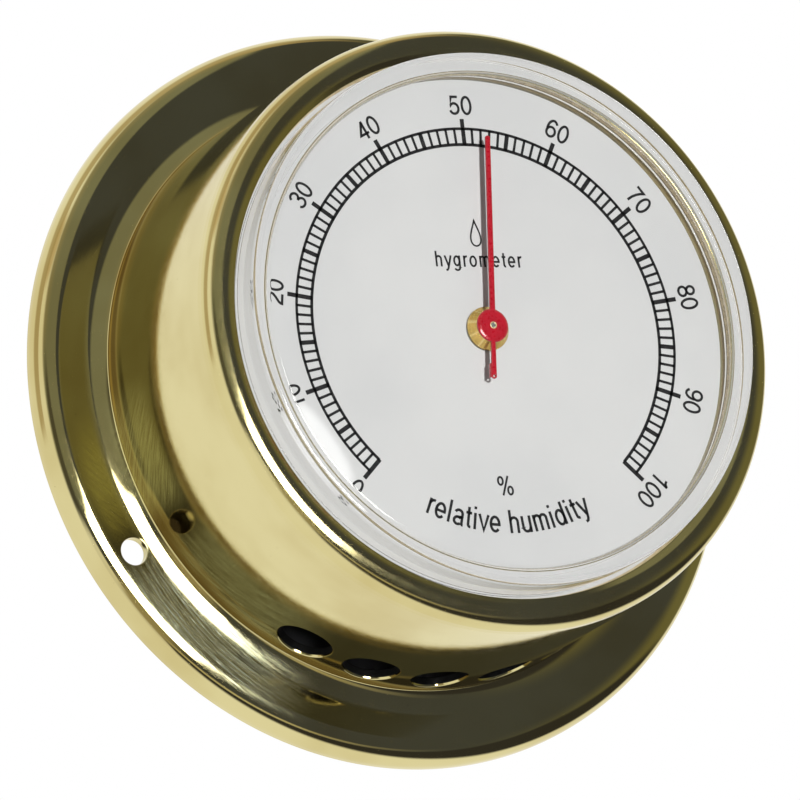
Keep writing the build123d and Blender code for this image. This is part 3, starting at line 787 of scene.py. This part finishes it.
# ---------------------------------------------------------------------- bezel
bead, top = (36.0, 31.6), (36.0, 32.6)
knee = (top[0] - 1.5 * sin(radians(30)), top[1] + 1.5 * cos(radians(30)))
lip = knee[1] - (knee[0] - 34.6) * tan(radians(30))
P = Profile((WR, WF))
P.line(on(bead, 2.5, 10.5), 2).arc(bead, (36.0, 34.1), 44)
P.arc(top, knee, 14).line((34.76, lip + 0.16 * tan(radians(30))), 2)
P.arc((34.78, lip - 0.10), (34.6, lip - 0.12), 4).line((34.6, 32.95)).line((36.65, 32.95), 2).line((36.65, 29.2), 2)
P.line((37.1, 29.2)).line((37.3, 29.4)).line((37.3, WF)).line((WR, WF), 1)
B = Builder()
lathe(B, P, even(480))
bezel = B.build("bezel_ring_polished", [M_BEZEL], "root", ["bezel_ring"])

# -------------------------------------------------------------------- crystal
P = Profile((0, 38.2))
P.line((24.0, 38.2), 2, 1).line((33.25, 38.2), 2, 1).arc((33.25, 37.4), (34.05, 37.4), 22)
P.line((34.05, 32.95 + 0.1), 3).line((34.15, 32.95)).line((36.3, 32.95), 1).arc((36.3, 32.85), (36.4, 32.85), 3)
P.line((36.4, 32.2)).arc((36.3, 32.2), (36.3, 32.1), 3).line((34.05, 32.1)).line((34.05, 31.85))
P.arc((33.95, 31.85), (33.95, 31.75), 3).line((32.15, 31.75)).arc((32.15, 31.85), (32.05, 31.85), 3)
P.line((32.05, 35.4), 3).arc((31.25, 35.4), (31.25, 36.2), 22).line((20.0, 36.2), 2, 1).line((0, 36.2), 1, 1)
P.line((0, 38.2), 1)
B = Builder()
lathe(B, P, even(480))
crystal = B.build("crystal_cup", [M_CLEAR, M_FLAT], "root", ["crystal"])
crystal.visible_shadow = False
crystal.visible_glossy = False

# ------------------------------------------------------------------------ hub
P = Profile((0.3, 31.9))
P.line((2.68, 31.9)).arc((2.68, 32.02), (2.8, 32.02), 5).line((2.75, 32.25), 2)
P.line((1.9, 33.25), 6).line((0.46, 33.25), 2).line((0.46, 33.64), 2).arc((0.38, 33.64), (0.30, 33.64), 10, 1)
P.line((0.3, 31.9))
B = Builder()
lathe(B, P, even(96))
hub = B.build("hand_hub_turned", [M_HUB, M_SPIGOT], "pointer", ["hand_hub"])

# -------------------------------------------------------------------- pointer
REST = radians(5.6)
HB, HT = 33.25, 33.6


def turned_by_rest(p):
    return (p[0] * cos(REST) + p[1] * sin(REST), -p[0] * sin(REST) + p[1] * cos(REST))


def arc_pts(cx, cy, r, a0, a1, n):
    return [(cx + r * cos(radians(a0 + (a1 - a0) * i / n)), cy + r * sin(radians(a0 + (a1 - a0) * i / n)))
            for i in range(n + 1)]


def hand_outline():
    w0, w1, L, disc, tw, tl = 0.38, 0.35, 24.55, 1.45, 0.36, 6.85
    y0 = sqrt(disc ** 2 - w0 ** 2)
    yt = -sqrt(disc ** 2 - 0.30 ** 2)
    a_up_l = math.degrees(atan2(y0, -w0))
    a_dn_l = math.degrees(atan2(yt, -0.30)) % 360
    pts = [(w0, y0)] + [(w0 + (w1 - w0) * t, y0 + (L - 0.35 - y0) * t) for t in (0.25, 0.5, 0.75)]
    pts += arc_pts(0, L - 0.35, 0.35, 0, 180, 10)
    pts += [(-(w0 + (w1 - w0) * t), y0 + (L - 0.35 - y0) * t) for t in (0.75, 0.5, 0.25)]
    pts += arc_pts(0, 0, disc, a_up_l, a_dn_l, 52)
    pts += [(-0.30 - (tw - 0.30) * t, yt + (-tl + tw - yt) * t) for t in (0.33, 0.66)]
    pts += arc_pts(0, -tl + tw, tw, 180, 360, 16)
    pts += [(0.30 + (tw - 0.30) * t, yt + (-tl + tw - yt) * t) for t in (0.66, 0.33)]
    pts += arc_pts(0, 0, disc, math.degrees(atan2(yt, 0.30)), math.degrees(atan2(y0, w0)), 52)[:-1]
    return pts


def plate(name, loops, d0, d1, bev, mat, body, replaces=(), steps=4):
    """A flat plate with rounded edges from closed loops in the dial's plane, between two depths."""
    cu = bpy.data.curves.new(name, "CURVE")
    cu.dimensions, cu.fill_mode = "2D", "BOTH"
    cu.extrude = (d1 - d0) / 2 - bev
    cu.bevel_depth, cu.bevel_resolution, cu.offset = bev, steps, -bev
    for loop in loops:
        sp = cu.splines.new("POLY")
        sp.points.add(len(loop) - 1)
        for q, p in zip(sp.points, loop):
            q.co = (p[0], p[1], 0, 1)
        sp.use_cyclic_u = True
        sp.use_smooth = True
    tmp = bpy.data.objects.new(name + "_tmp", cu)
    scene.collection.objects.link(tmp)
    bpy.context.view_layer.update()
    me = bpy.data.meshes.new_from_object(tmp.evaluated_get(bpy.context.evaluated_depsgraph_get()))
    bpy.data.objects.remove(tmp)
    me.name = name
    co = np.zeros(len(me.vertices) * 3)
    me.vertices.foreach_get("co", co)
    co = co.reshape(-1, 3)
    me.vertices.foreach_set("co", row(np.stack([co[:, 0], co[:, 1], co[:, 2] + (d0 + d1) / 2], -1)).ravel())
    me.materials.clear()
    me.materials.append(mat)
    me.polygons.foreach_set("use_smooth", [True] * len(me.polygons))
    me.set_sharp_from_angle(angle=radians(32))
    me.update()
    o = bpy.data.objects.new(name, me)
    scene.collection.objects.link(o)
    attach(o, body)
    if replaces:
        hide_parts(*replaces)
    return o


loops = [[turned_by_rest(p) for p in hand_outline()],
         [turned_by_rest(p) for p in arc_pts(0, 0, 0.47, 0, 360, 40)[:-1]],
         [turned_by_rest(p) for p in arc_pts(0, -6.49, 0.13, 0, 360, 14)[:-1]]]
hand = plate("pointer_hand_lacquered", loops, HB, HT, 0.13, M_RED, "pointer", ["pointer_hand"])
# the disc in the middle, slightly domed towards its edge by the lacquer
P = Profile((0.47, HB))
P.line((2.06, HB)).arc((2.06, HB + 0.06), (2.12, HB + 0.06), 4).line((2.12, HB + 0.16))
P.arc((1.98, HB + 0.16), (1.98 + 0.14 * sin(radians(34)), HB + 0.16 + 0.14 * cos(radians(34))), 6)
dome_c = (1.98 - 0.66 * sin(radians(34)), HB + 0.16 - 0.66 * cos(radians(34)))
P.arc(dome_c, (dome_c[0], dome_c[1] + 0.80), 16).line((0.47, dome_c[1] + 0.80), 3).line((0.47, HB))
B = Builder()
lathe(B, P, even(128))
disc = B.build("pointer_disc", [M_RED], "pointer")


def tab_mesh():
    """The folded tab: a small strip that leaves the tail's left edge, turns down and hangs behind it."""
    y0, y1, xe = -6.7, -4.9, -0.33
    path = [(xe + 0.06, HT - 0.12), (xe - 0.03, HT - 0.12), (xe - 0.075, HT - 0.16), (xe - 0.10, HT - 0.24),
            (xe - 0.105, HB - 0.06), (xe - 0.10, HB - 0.28)]
    th = 0.10
    verts, faces = [], []
    left, right = [], []
    for i, p in enumerate(path):
        a, b = path[max(i - 1, 0)], path[min(i + 1, len(path) - 1)]
        t = (b[0] - a[0], b[1] - a[1])
        l = hypot(*t)
        n = (-t[1] / l, t[0] / l)
        left.append((p[0] + n[0] * th / 2, p[1] + n[1] * th / 2))
        right.append((p[0] - n[0] * th / 2, p[1] - n[1] * th / 2))
    ys = [y0, y0 + 0.08, y1 - 0.08, y1]
    ins = [0.08, 0, 0, 0.08]
    cols = left + right[::-1]
    m = len(cols)
    for y, k in zip(ys, ins):
        for j, (x, d) in enumerate(cols):
            end = j in (len(left) - 1, len(left))
            verts.append((*turned_by_rest((x, y)), d + (k if end else 0)))
    for s in range(len(ys) - 1):
        for j in range(m):
            c = (j + 1) % m
            faces.append((s * m + j, s * m + c, (s + 1) * m + c, (s + 1) * m + j))
    faces.append(tuple(range(m))[::-1])
    faces.append(tuple(range((len(ys) - 1) * m, len(ys) * m)))
    return verts, faces


tv, tf = tab_mesh()
tab = mesh_object("pointer_tab", tv, tf, M_RED, "pointer", sharp=50)

# ----------------------------------------------------------------- dial print
DF = 31.7
INK_T = 0.012


class Ink:
    """Flat printed shapes as thin closed plates lying on the dial."""

    def __init__(self):
        self.v, self.f = [], []

    def strip(self, left, right, closed=False):
        n = len(left)
        base = len(self.v)
        for a, b in zip(left, right):
            for q, d in ((a, DF + INK_T), (b, DF + INK_T), (b, DF - 0.004), (a, DF - 0.004)):
                self.v.append((q[0], q[1], d))
        for i in range(n if closed else n - 1):
            j = (i + 1) % n
            for s in range(4):
                t = (s + 1) % 4
                self.f.append((base + 4 * i + s, base + 4 * i + t, base + 4 * j + t, base + 4 * j + s))
        if not closed:
            self.f.append((base + 3, base + 2, base + 1, base))
            e = base + 4 * (n - 1)
            self.f.append((e, e + 1, e + 2, e + 3))

    def stroke(self, pts, w, closed=False):
        n = len(pts)
        L, R = [], []
        for i, p in enumerate(pts):
            a = pts[i - 1] if (i or closed) else None
            b = pts[(i + 1) % n] if (i < n - 1 or closed) else None
            ds = []
            for s, e in ((a, p), (p, b)):
                if s is not None and e is not None:
                    l = hypot(e[0] - s[0], e[1] - s[1]) or 1
                    ds.append(((e[0] - s[0]) / l, (e[1] - s[1]) / l))
            d = (sum(q[0] for q in ds), sum(q[1] for q in ds))
            l = hypot(*d) or 1
            d = (d[0] / l, d[1] / l)
            k = w / 2 / max(0.45, d[0] * ds[0][0] + d[1] * ds[0][1])
            L.append((p[0] - d[1] * k, p[1] + d[0] * k))
            R.append((p[0] + d[1] * k, p[1] - d[0] * k))
        self.strip(L, R, closed)

    def sector(self, r0, r1, a0, a1, n):
        az = [radians(a0 + (a1 - a0) * i / n) for i in range(n + 1)]
        self.strip([(r1 * sin(a), r1 * cos(a)) for a in az], [(r0 * sin(a), r0 * cos(a)) for a in az])

    def tick(self, r0, r1, az, w):
        a = radians(az)
        s, c = sin(a), cos(a)
        self.strip([(r0 * s - c * w / 2, r0 * c + s * w / 2), (r1 * s - c * w / 2, r1 * c + s * w / 2)],
                   [(r0 * s + c * w / 2, r0 * c - s * w / 2), (r1 * s + c * w / 2, r1 * c - s * w / 2)])

    def make(self, name):
        o = mesh_object(name, self.v, self.f, M_INK, "root")
        bm_fix(o)
        return o


def bm_fix(o):
    """Faces turned outwards."""
    import bmesh
    bm = bmesh.new()
    bm.from_mesh(o.data)
    bmesh.ops.recalc_face_normals(bm, faces=bm.faces)
    bm.to_mesh(o.data)
    bm.free()


def ell(cx, cy, rx, ry, a0, a1, n=14):
    return [(cx + rx * cos(radians(a0 + (a1 - a0) * i / n)), cy + ry * sin(radians(a0 + (a1 - a0) * i / n)))
            for i in range(n + 1)]


def loop_of(cx, cy, rx, ry, n=26):
    return ("closed", ell(cx, cy, rx, ry, 0, 360, n)[:-1])


def flip(strokes, w=0.52):
    out = []
    for s in strokes:
        if s[0] == "closed":
            out.append(("closed", [(w - x, 1 - y) for x, y in s[1]]))
        else:
            out.append([(w - x, 1 - y) for x, y in s])
    return out


SIX = [loop_of(0.265, 0.315, 0.20, 0.26), ell(0.285, 0.53, 0.22, 0.415, 38, 195, 18)]
GLYPHS = {
    "0": ([loop_of(0.265, 0.5, 0.205, 0.445, 30)], 0.56),
    "1": ([[(0.31, 0.0), (0.31, 0.99)], [(0.08, 0.755), (0.18, 0.775), (0.26, 0.85), (0.295, 0.98)]], 0.56),
    "2": ([ell(0.265, 0.69, 0.20, 0.255, 172, -32, 14) + [(0.30, 0.40), (0.13, 0.24), (0.065, 0.12),
                                                         (0.055, 0.055), (0.48, 0.055)]], 0.56),
    "3": ([ell(0.25, 0.725, 0.185, 0.22, 165, -90, 14), ell(0.25, 0.28, 0.205, 0.225, 90, -165, 14)], 0.56),
    "4": ([[(0.37, 0.0), (0.37, 0.97)], [(0.375, 0.93), (0.065, 0.29), (0.51, 0.29)]], 0.56),
    "5": ([[(0.45, 0.945), (0.145, 0.945), (0.095, 0.49)] + ell(0.255, 0.33, 0.205, 0.275, 138, -160, 16)], 0.56),
    "6": (SIX, 0.56),
    "7": ([[(0.05, 0.945), (0.475, 0.945), (0.38, 0.79), (0.29, 0.57), (0.225, 0.31), (0.20, 0.0)]], 0.56),
    "8": ([loop_of(0.265, 0.73, 0.175, 0.215), loop_of(0.265, 0.28, 0.205, 0.225)], 0.56),
    "9": (flip(SIX, 0.53), 0.56),
    "%": ([loop_of(0.20, 0.74, 0.13, 0.20), loop_of(0.70, 0.25, 0.13, 0.20), [(0.62, 1.0), (0.28, 0.0)]], 0.92),
    " ": ([], 0.28),
    "a": ([ell(0.255, 0.50, 0.17, 0.17, 160, 0, 12) + [(0.425, 0.10), (0.455, 0.045), (0.50, 0.045)],
           ell(0.235, 0.20, 0.165, 0.16, 40, 320, 18), [(0.425, 0.40), (0.36, 0.37), (0.22, 0.355)]], 0.535),
    "d": ([loop_of(0.245, 0.355, 0.18, 0.31), [(0.435, 0.0), (0.435, 1.0)]], 0.56),
    "e": ([[(0.05, 0.345), (0.44, 0.345)] + ell(0.245, 0.36, 0.195, 0.31, 0, 318, 26)], 0.54),
    "g": ([loop_of(0.245, 0.375, 0.18, 0.29), [(0.43, 0.72), (0.43, -0.03)] + ell(0.245, -0.03, 0.185, 0.185, 0, -155, 12)], 0.56),
    "h": ([[(0.09, 0.0), (0.09, 1.0)], ell(0.255, 0.49, 0.165, 0.18, 180, 0, 12) + [(0.42, 0.0)]], 0.54),
    "i": ([[(0.09, 0.0), (0.09, 0.72)], [(0.09, 0.88), (0.09, 1.0)]], 0.225),
    "l": ([[(0.09, 0.0), (0.09, 1.0)]], 0.225),
    "m": ([[(0.09, 0.0), (0.09, 0.72)], ell(0.235, 0.515, 0.145, 0.155, 180, 0, 10) + [(0.38, 0.0)],
           ell(0.525, 0.515, 0.145, 0.155, 180, 0, 10) + [(0.67, 0.0)]], 0.80),
    "o": ([loop_of(0.25, 0.36, 0.195, 0.31)], 0.55),
    "r": ([[(0.09, 0.0), (0.09, 0.72)], ell(0.27, 0.47, 0.18, 0.20, 180, 78, 8)], 0.34),
    "t": ([[(0.145, 0.92), (0.145, 0.17)] + ell(0.255, 0.16, 0.11, 0.11, 180, 275, 6), [(0.02, 0.665), (0.285, 0.665)]], 0.32),
    "u": ([[(0.085, 0.72), (0.085, 0.23)] + ell(0.25, 0.23, 0.165, 0.18, 180, 360, 12), [(0.425, 0.72), (0.425, 0.0)]], 0.54),
    "v": ([[(0.03, 0.72), (0.235, 0.03), (0.44, 0.72)]], 0.475),
    "y": ([[(0.03, 0.72), (0.245, 0.04)], [(0.455, 0.72), (0.215, -0.10), (0.155, -0.20), (0.05, -0.22)]], 0.485),
}


def write(ink, text, size, weight, place, spacing=0.0, wide=1.0):
    """place(advance in mm along the line) gives origin, right and up for a letter whose middle is there."""
    total = sum(GLYPHS[c][1] for c in text) * size * wide + spacing * (len(text) - 1)
    at = -total / 2
    for c in text:
        strokes, adv = GLYPHS[c]
        w = adv * size * wide
        (ox, oy), (rx, ry), (ux, uy) = place(at + w / 2)
        for s in strokes:
            closed = s[0] == "closed"
            pts = s[1] if closed else s
            q = [((x * size * wide - w / 2 + 0.02 * size), y * size) for x, y in pts]
            ink.stroke([(ox + x * rx + y * ux, oy + x * ry + y * uy) for x, y in q], weight, closed)
        at += w + spacing


scale_ink = Ink()
scale_ink.sector(25.60, 25.96, -135, 135, 270)
scale_ink.sector(23.54, 23.94, -135, 135, 270)
for i in range(101):
    az = -135 + 2.7 * i
    if i % 10 == 0:
        scale_ink.tick(23.65, 27.05, az, 0.56)
    elif i % 5 == 0:
        scale_ink.tick(23.7, 25.85, az, 0.56)
    else:
        scale_ink.tick(23.7, 25.85, az, 0.34)
scale_print = scale_ink.make("dial_print_scale")

num = Ink()
H = 2.45
for i in range(0, 101, 10):
    az = radians(-135 + 2.7 * i)
    s, c = sin(az), cos(az)
    base = 28.8 - H / 2

    def place(t, s=s, c=c, base=base):
        return (base * s + t * c, base * c - t * s), (c, -s), (s, c)

    write(num, str(i), H, 0.33, place, 0.04, 1.18)
write(num, "%", 2.5, 0.27, lambda t: ((t, -21.2), (1, 0), (0, 1)))
num.make("dial_print_numbers")


def along_bottom(radius, middle=0.0):
    def place(t):
        a = middle + t / radius
        return (radius * sin(a), -radius * cos(a)), (cos(a), sin(a)), (-sin(a), cos(a))
    return place


words = Ink()
write(words, "relative humidity", 2.95, 0.36, along_bottom(26.0), 0.16)
write(words, "hygrometer", 2.0, 0.26, lambda t: ((t, 8.0), (1, 0), (0, 1)), 0.22)
drop = []
for i in range(41):
    t = i / 40 * 2 * pi
    q = sin(t / 2) ** 1.6
    drop.append((1.05 * q * sin(t) * -1.0 * 0.95, 12.35 + 1.65 * cos(t)))
words.stroke(drop[:-1], 0.22, True)
words.make("dial_print_words")

# ------------------------------------------------------------ remaining pieces
FINISH = {
    "crystal_gasket": M_RUBBER, "dial_plate": M_DIAL, "dial_support_ring": M_COVER, "retaining_ring": M_STEEL,
    "movement_front_plate": M_MOVE, "movement_back_plate": M_MOVE, "movement_pillars": M_MOVE,
    "plate_screws": M_SCREW, "dial_feet": M_MOVE, "foot_nuts": M_MOVE, "centre_bush": M_MOVE,
    "pivot_bushes": M_MOVE, "hairspring": M_STEEL, "hairspring_stud": M_MOVE, "hair_bundle": M_HAIR,
    "hair_clips": M_MOVE, "friction_washer": M_STEEL, "back_cover": M_COVER, "cover_screws": M_SCREW,
    "pointer_arbor": M_ARBOR, "pinion": M_MOVE, "hairspring_collet": M_MOVE, "sector_gear": M_MOVE,
    "sector_arbor": M_ARBOR, "hair_lever": M_MOVE, "crank_pin": M_ARBOR, "adjusting_screw": M_MOVE,
    "adjuster_clip": M_STEEL, "case_shell": M_BRASS, "bezel_ring": M_BEZEL, "crystal": M_CLEAR,
    "hand_hub": M_HUB, "pointer_hand": M_RED,
}
for name, o in NODES.items():
    o.data.materials.clear()
    o.data.materials.append(FINISH[name])
    for poly in o.data.polygons:
        poly.material_index = 0

# ---------------------------------------------------------------------- world
world = bpy.data.worlds.new("studio")
scene.world = world
world.use_nodes = True
nt = world.node_tree
bg = nt.nodes["Background"]
tc = nt.nodes.new("ShaderNodeTexCoord")
sp = nt.nodes.new("ShaderNodeSeparateXYZ")
nt.links.new(tc.outputs["Generated"], sp.inputs[0])
dx, dy, dz = (S(nt, sp.outputs[i]) for i in range(3))
ang = (-dy).min(1.0).max(-1.0).op("ARCCOSINE") * 57.29578
lat = (dx * dx + dz * dz).op("SQRT").max(1e-5)
u = ang * dx / lat
w = ang * dz / lat
# u, w: degrees off the dial's normal, to the right and up


def far(cx, cy, sx=1.0, sy=1.0):
    a, b = (u - cx) * sx, (w - cy) * sy
    return (a * a + b * b).op("SQRT")


room = (0.068, 0.072, 0.082)
warm = (0.245, 0.250, 0.200)
edge_x = (w - 15.0) * 0.28 + 2.0
left = (edge_x - u).step(-3.0, 3.0) * w.step(-14.0, 4.0)
col = mix(nt, room, warm, left)
rho = far(24.0, 9.0)
col = mix(nt, col, (0.185, 0.175, 0.090), u.step(30.0, 72.0) * w.step(-70.0, -20.0))
col = mix(nt, col, (0.36, 0.32, 0.22), left * rho.step(55.0, 82.0) * w.step(22.0, 34.0) * 0.8)
# darker piece of the room at the left
col = mix(nt, col, (0.075, 0.068, 0.055), far(-45.0, 4.0, 1.0, 0.5).step(12.0, 6.0) * 0.85)
# pale strip low down, then the dark flag under it
strip = ang.step(42.0, 45.0) * ang.step(52.0, 48.5) * w.step(-10.0, -25.0) * u.step(34.0, -8.0)
col = mix(nt, col, (0.60, 0.54, 0.36), strip)
flag = ang.step(50.0, 53.5) * u.step(-36.0, -33.5) * w.step(-20.0, -30.0)
col = mix(nt, col, (0.040, 0.038, 0.040), flag)
# the white sweep that the object stands before
white = (rho - u.step(20.0, 70.0) * 8.0).step(77.0, 89.0)
gap = ang.step(39.0, 47.0) * u.step(-33.0, -36.0) * w.step(-8.0, -20.0)
white = white.max(gap * 0.85)
col = mix(nt, col, (1.0, 0.99, 0.97), white)
col = mix(nt, col, (0.60, 0.44, 0.24), far(-56.0, 62.0, 1.0, 1.0).step(17.0, 7.0) * 0.75)
# softbox
ca, cb = 0.743, 0.669
along = -(u * ca) - w * cb
across = u * cb - w * ca
lp = nt.nodes.new("ShaderNodeLightPath")
glossy = S(nt, lp.outputs["Glossy Depth"])
deep = glossy.op("GREATER_THAN", 1.5)
through = S(nt, lp.outputs["Transmission Depth"]).op("GREATER_THAN", 0.5) * glossy.op("GREATER_THAN", 0.5)
once = deep * -1.0 + 1.0
# what the second reflection finds: less of the white, and a cool haze low on the left
col = mix(nt, col, (0.17, 0.125, 0.075), deep * (white.max(strip)) * ang.step(112.0, 100.0) * 0.9)
haze = along.step(8.0, 16.0) * along.step(40.0, 32.0) * across.step(-9.0, 5.0) * across.step(21.0, 12.0)
col = mix(nt, col, (0.30, 0.31, 0.28), haze * (deep * 0.25 + 0.04))
col = mix(nt, col, (0.42, 0.37, 0.25), along.step(27.0, 33.0) * along.step(60.0, 50.0) * once
          * across.step(-10.0, -2.0) * across.step(14.0, 6.0))
col = mix(nt, col, (0.52, 0.42, 0.26), ang.step(82.0, 88.0) * ang.step(116.0, 104.0) * w.step(4.0, 16.0)
          * u.step(48.0, 30.0) * 0.85)
col = mix(nt, col, (0.62, 0.60, 0.54), through * ang.step(45.0, 70.0) * 0.55)
side = across + (along + 6.3) * 0.3 + 4.3
other = across - along * 0.12
box = along.step(-9.0, -6.0) * along.step(27.0, 24.0) * side.step(-1.5, 1.5) * other.step(10.3, 8.0) * once
# a small gap in the softbox straight in front, so that the object can be looked at squarely
col = mix(nt, col, (0.50, 0.48, 0.42), far(0.0, 0.0).step(3.4, 2.4))
col = mix(nt, col, (16.0, 15.8, 15.4), box * far(0.0, 0.0).step(1.8, 2.5))
DIFFUSE = 0.20
soft = S(nt, lp.outputs["Is Diffuse Ray"]).max(S(nt, lp.outputs["Diffuse Depth"]).op("GREATER_THAN", 0.5))
col = mix(nt, col, (DIFFUSE, DIFFUSE, DIFFUSE), soft)
col = mix(nt, col, (1.0, 1.0, 1.0), S(nt, lp.outputs["Is Camera Ray"]))
nt.links.new(col, bg.inputs["Color"])
bg.inputs["Strength"].default_value = 1.0
world.cycles.sampling_method = "NONE"

# --------------------------------------------------------------------- lights
sun = bpy.data.lights.new("key", "SUN")
sun.energy = 2.86
sun.angle = radians(3.0)
key = bpy.data.objects.new("key", sun)
key.rotation_euler = Vector((0.0, 1.0, 0.0)).to_track_quat("-Z", "Y").to_euler()
key.visible_glossy = False
key.visible_transmission = False
scene.collection.objects.link(key)

# light that the window's wall gathers on the dial's lower left
PATCH_AZ, PATCH_R = radians(238.5), 28.1
spot = bpy.data.lights.new("gathered", "SPOT")
spot.energy = 4.5
spot.spot_size = 2 * atan2(0.0068, 0.5)
spot.spot_blend = 0.5
spot.shadow_soft_size = 0.0006
patch = bpy.data.objects.new("gathered", spot)
tx, tz = PATCH_R * sin(PATCH_AZ) / 1000, PATCH_R * cos(PATCH_AZ) / 1000
ax, az = sin(PATCH_AZ), cos(PATCH_AZ)
M = Matrix(((az, ax, 0, tx), (0, 0, -1, -0.5317), (-ax, az, 0, tz), (0, 0, 0, 1)))
patch.matrix_world = M @ Matrix.Diagonal((1.0, 0.24, 1.0, 1.0))
patch.visible_glossy = False
patch.visible_transmission = False
scene.collection.objects.link(patch)

# painted shade: a dark disc behind the left screw hole stands for the shade there, seen only in the wall's reflection
# of the hole
sa = radians(SCREW_AZ[2])
hx, hz = 44.8 * sin(sa) / 1000, 44.8 * cos(sa) / 1000
dv = [(hx, 0.0004, hz)] + [(hx + 0.0022 * cos(2 * pi * i / 32), 0.0004, hz + 0.0022 * sin(2 * pi * i / 32)) for i in range(32)]
dm = bpy.data.meshes.new("hole_shade_disc")
dm.from_pydata(dv, [], [(0, 1 + i, 1 + (i + 1) % 32) for i in range(32)])
dm.materials.append(moulding("hole_backing_dark", (0.035, 0.026, 0.015), 0.8, 0.02))
shade_disc = bpy.data.objects.new("hole_shade_disc", dm)
scene.collection.objects.link(shade_disc)
shade_disc.visible_camera = False
shade_disc.visible_diffuse = False
shade_disc.visible_transmission = False
shade_disc.visible_shadow = False

# a plain pale floor far below, so that no view of the wall-mounted object is blocked
fv, ff, rings_n, seg = [(0.0, 0.0, -3.0)], [], 6, 64
for j in range(1, rings_n + 1):
    for i in range(seg):
        t = 2 * pi * i / seg
        fv.append((2.0 * j * cos(t), 2.0 * j * sin(t), -3.0))
for i in range(seg):
    ff.append((0, 1 + i, 1 + (i + 1) % seg))
for j in range(rings_n - 1):
    for i in range(seg):
        a, b = 1 + j * seg + i, 1 + j * seg + (i + 1) % seg
        ff.append((a, a + seg, b + seg, b))
fm = bpy.data.meshes.new("floor")
fm.from_pydata(fv, [], ff)
m_floor, fnt, fp = material("pale_floor", (0.88, 0.88, 0.87), 0.0, 0.9)
fvv, _, _, _ = coords_mm(fnt)
link(fnt, mix(fnt, (0.90, 0.90, 0.89), (0.86, 0.86, 0.855), noise(fnt, fvv, 0.002, 3, 0.5)), fp.inputs["Base Color"])
fm.materials.append(m_floor)
floor = bpy.data.objects.new("floor", fm)
scene.collection.objects.link(floor)
floor.visible_glossy = False
floor.visible_transmission = False

# --------------------------------------------------------------------- camera
R = np.array([[0.8967, -0.1132, 0.4278], [0.0093, -0.9617, -0.2740], [0.4425, 0.2497, -0.8613]])
T = np.array([10.594, -8.665, 1845.0])
C = -R.T @ T
place_c = row(np.array([C[0], C[1], C[2] + 32.5]))
axes = [rowdir(R[0]), -rowdir(R[1]), -rowdir(R[2])]
cam_data = bpy.data.cameras.new("camera")
cam = bpy.data.objects.new("camera", cam_data)
M = Matrix.Identity(4)
for i, a in enumerate(axes):
    a = a / np.linalg.norm(a)
    for j in range(3):
        M[j][i] = a[j]
for j in range(3):
    M[j][3] = place_c[j]
cam.matrix_world = M
cam_data.sensor_width = 36.0
cam_data.lens = 675.0
cam_data.clip_start, cam_data.clip_end = 0.05, 50.0
scene.collection.objects.link(cam)
scene.camera = cam
scene.view_settings.view_transform = "Standard"
scene.view_settings.look = "None"
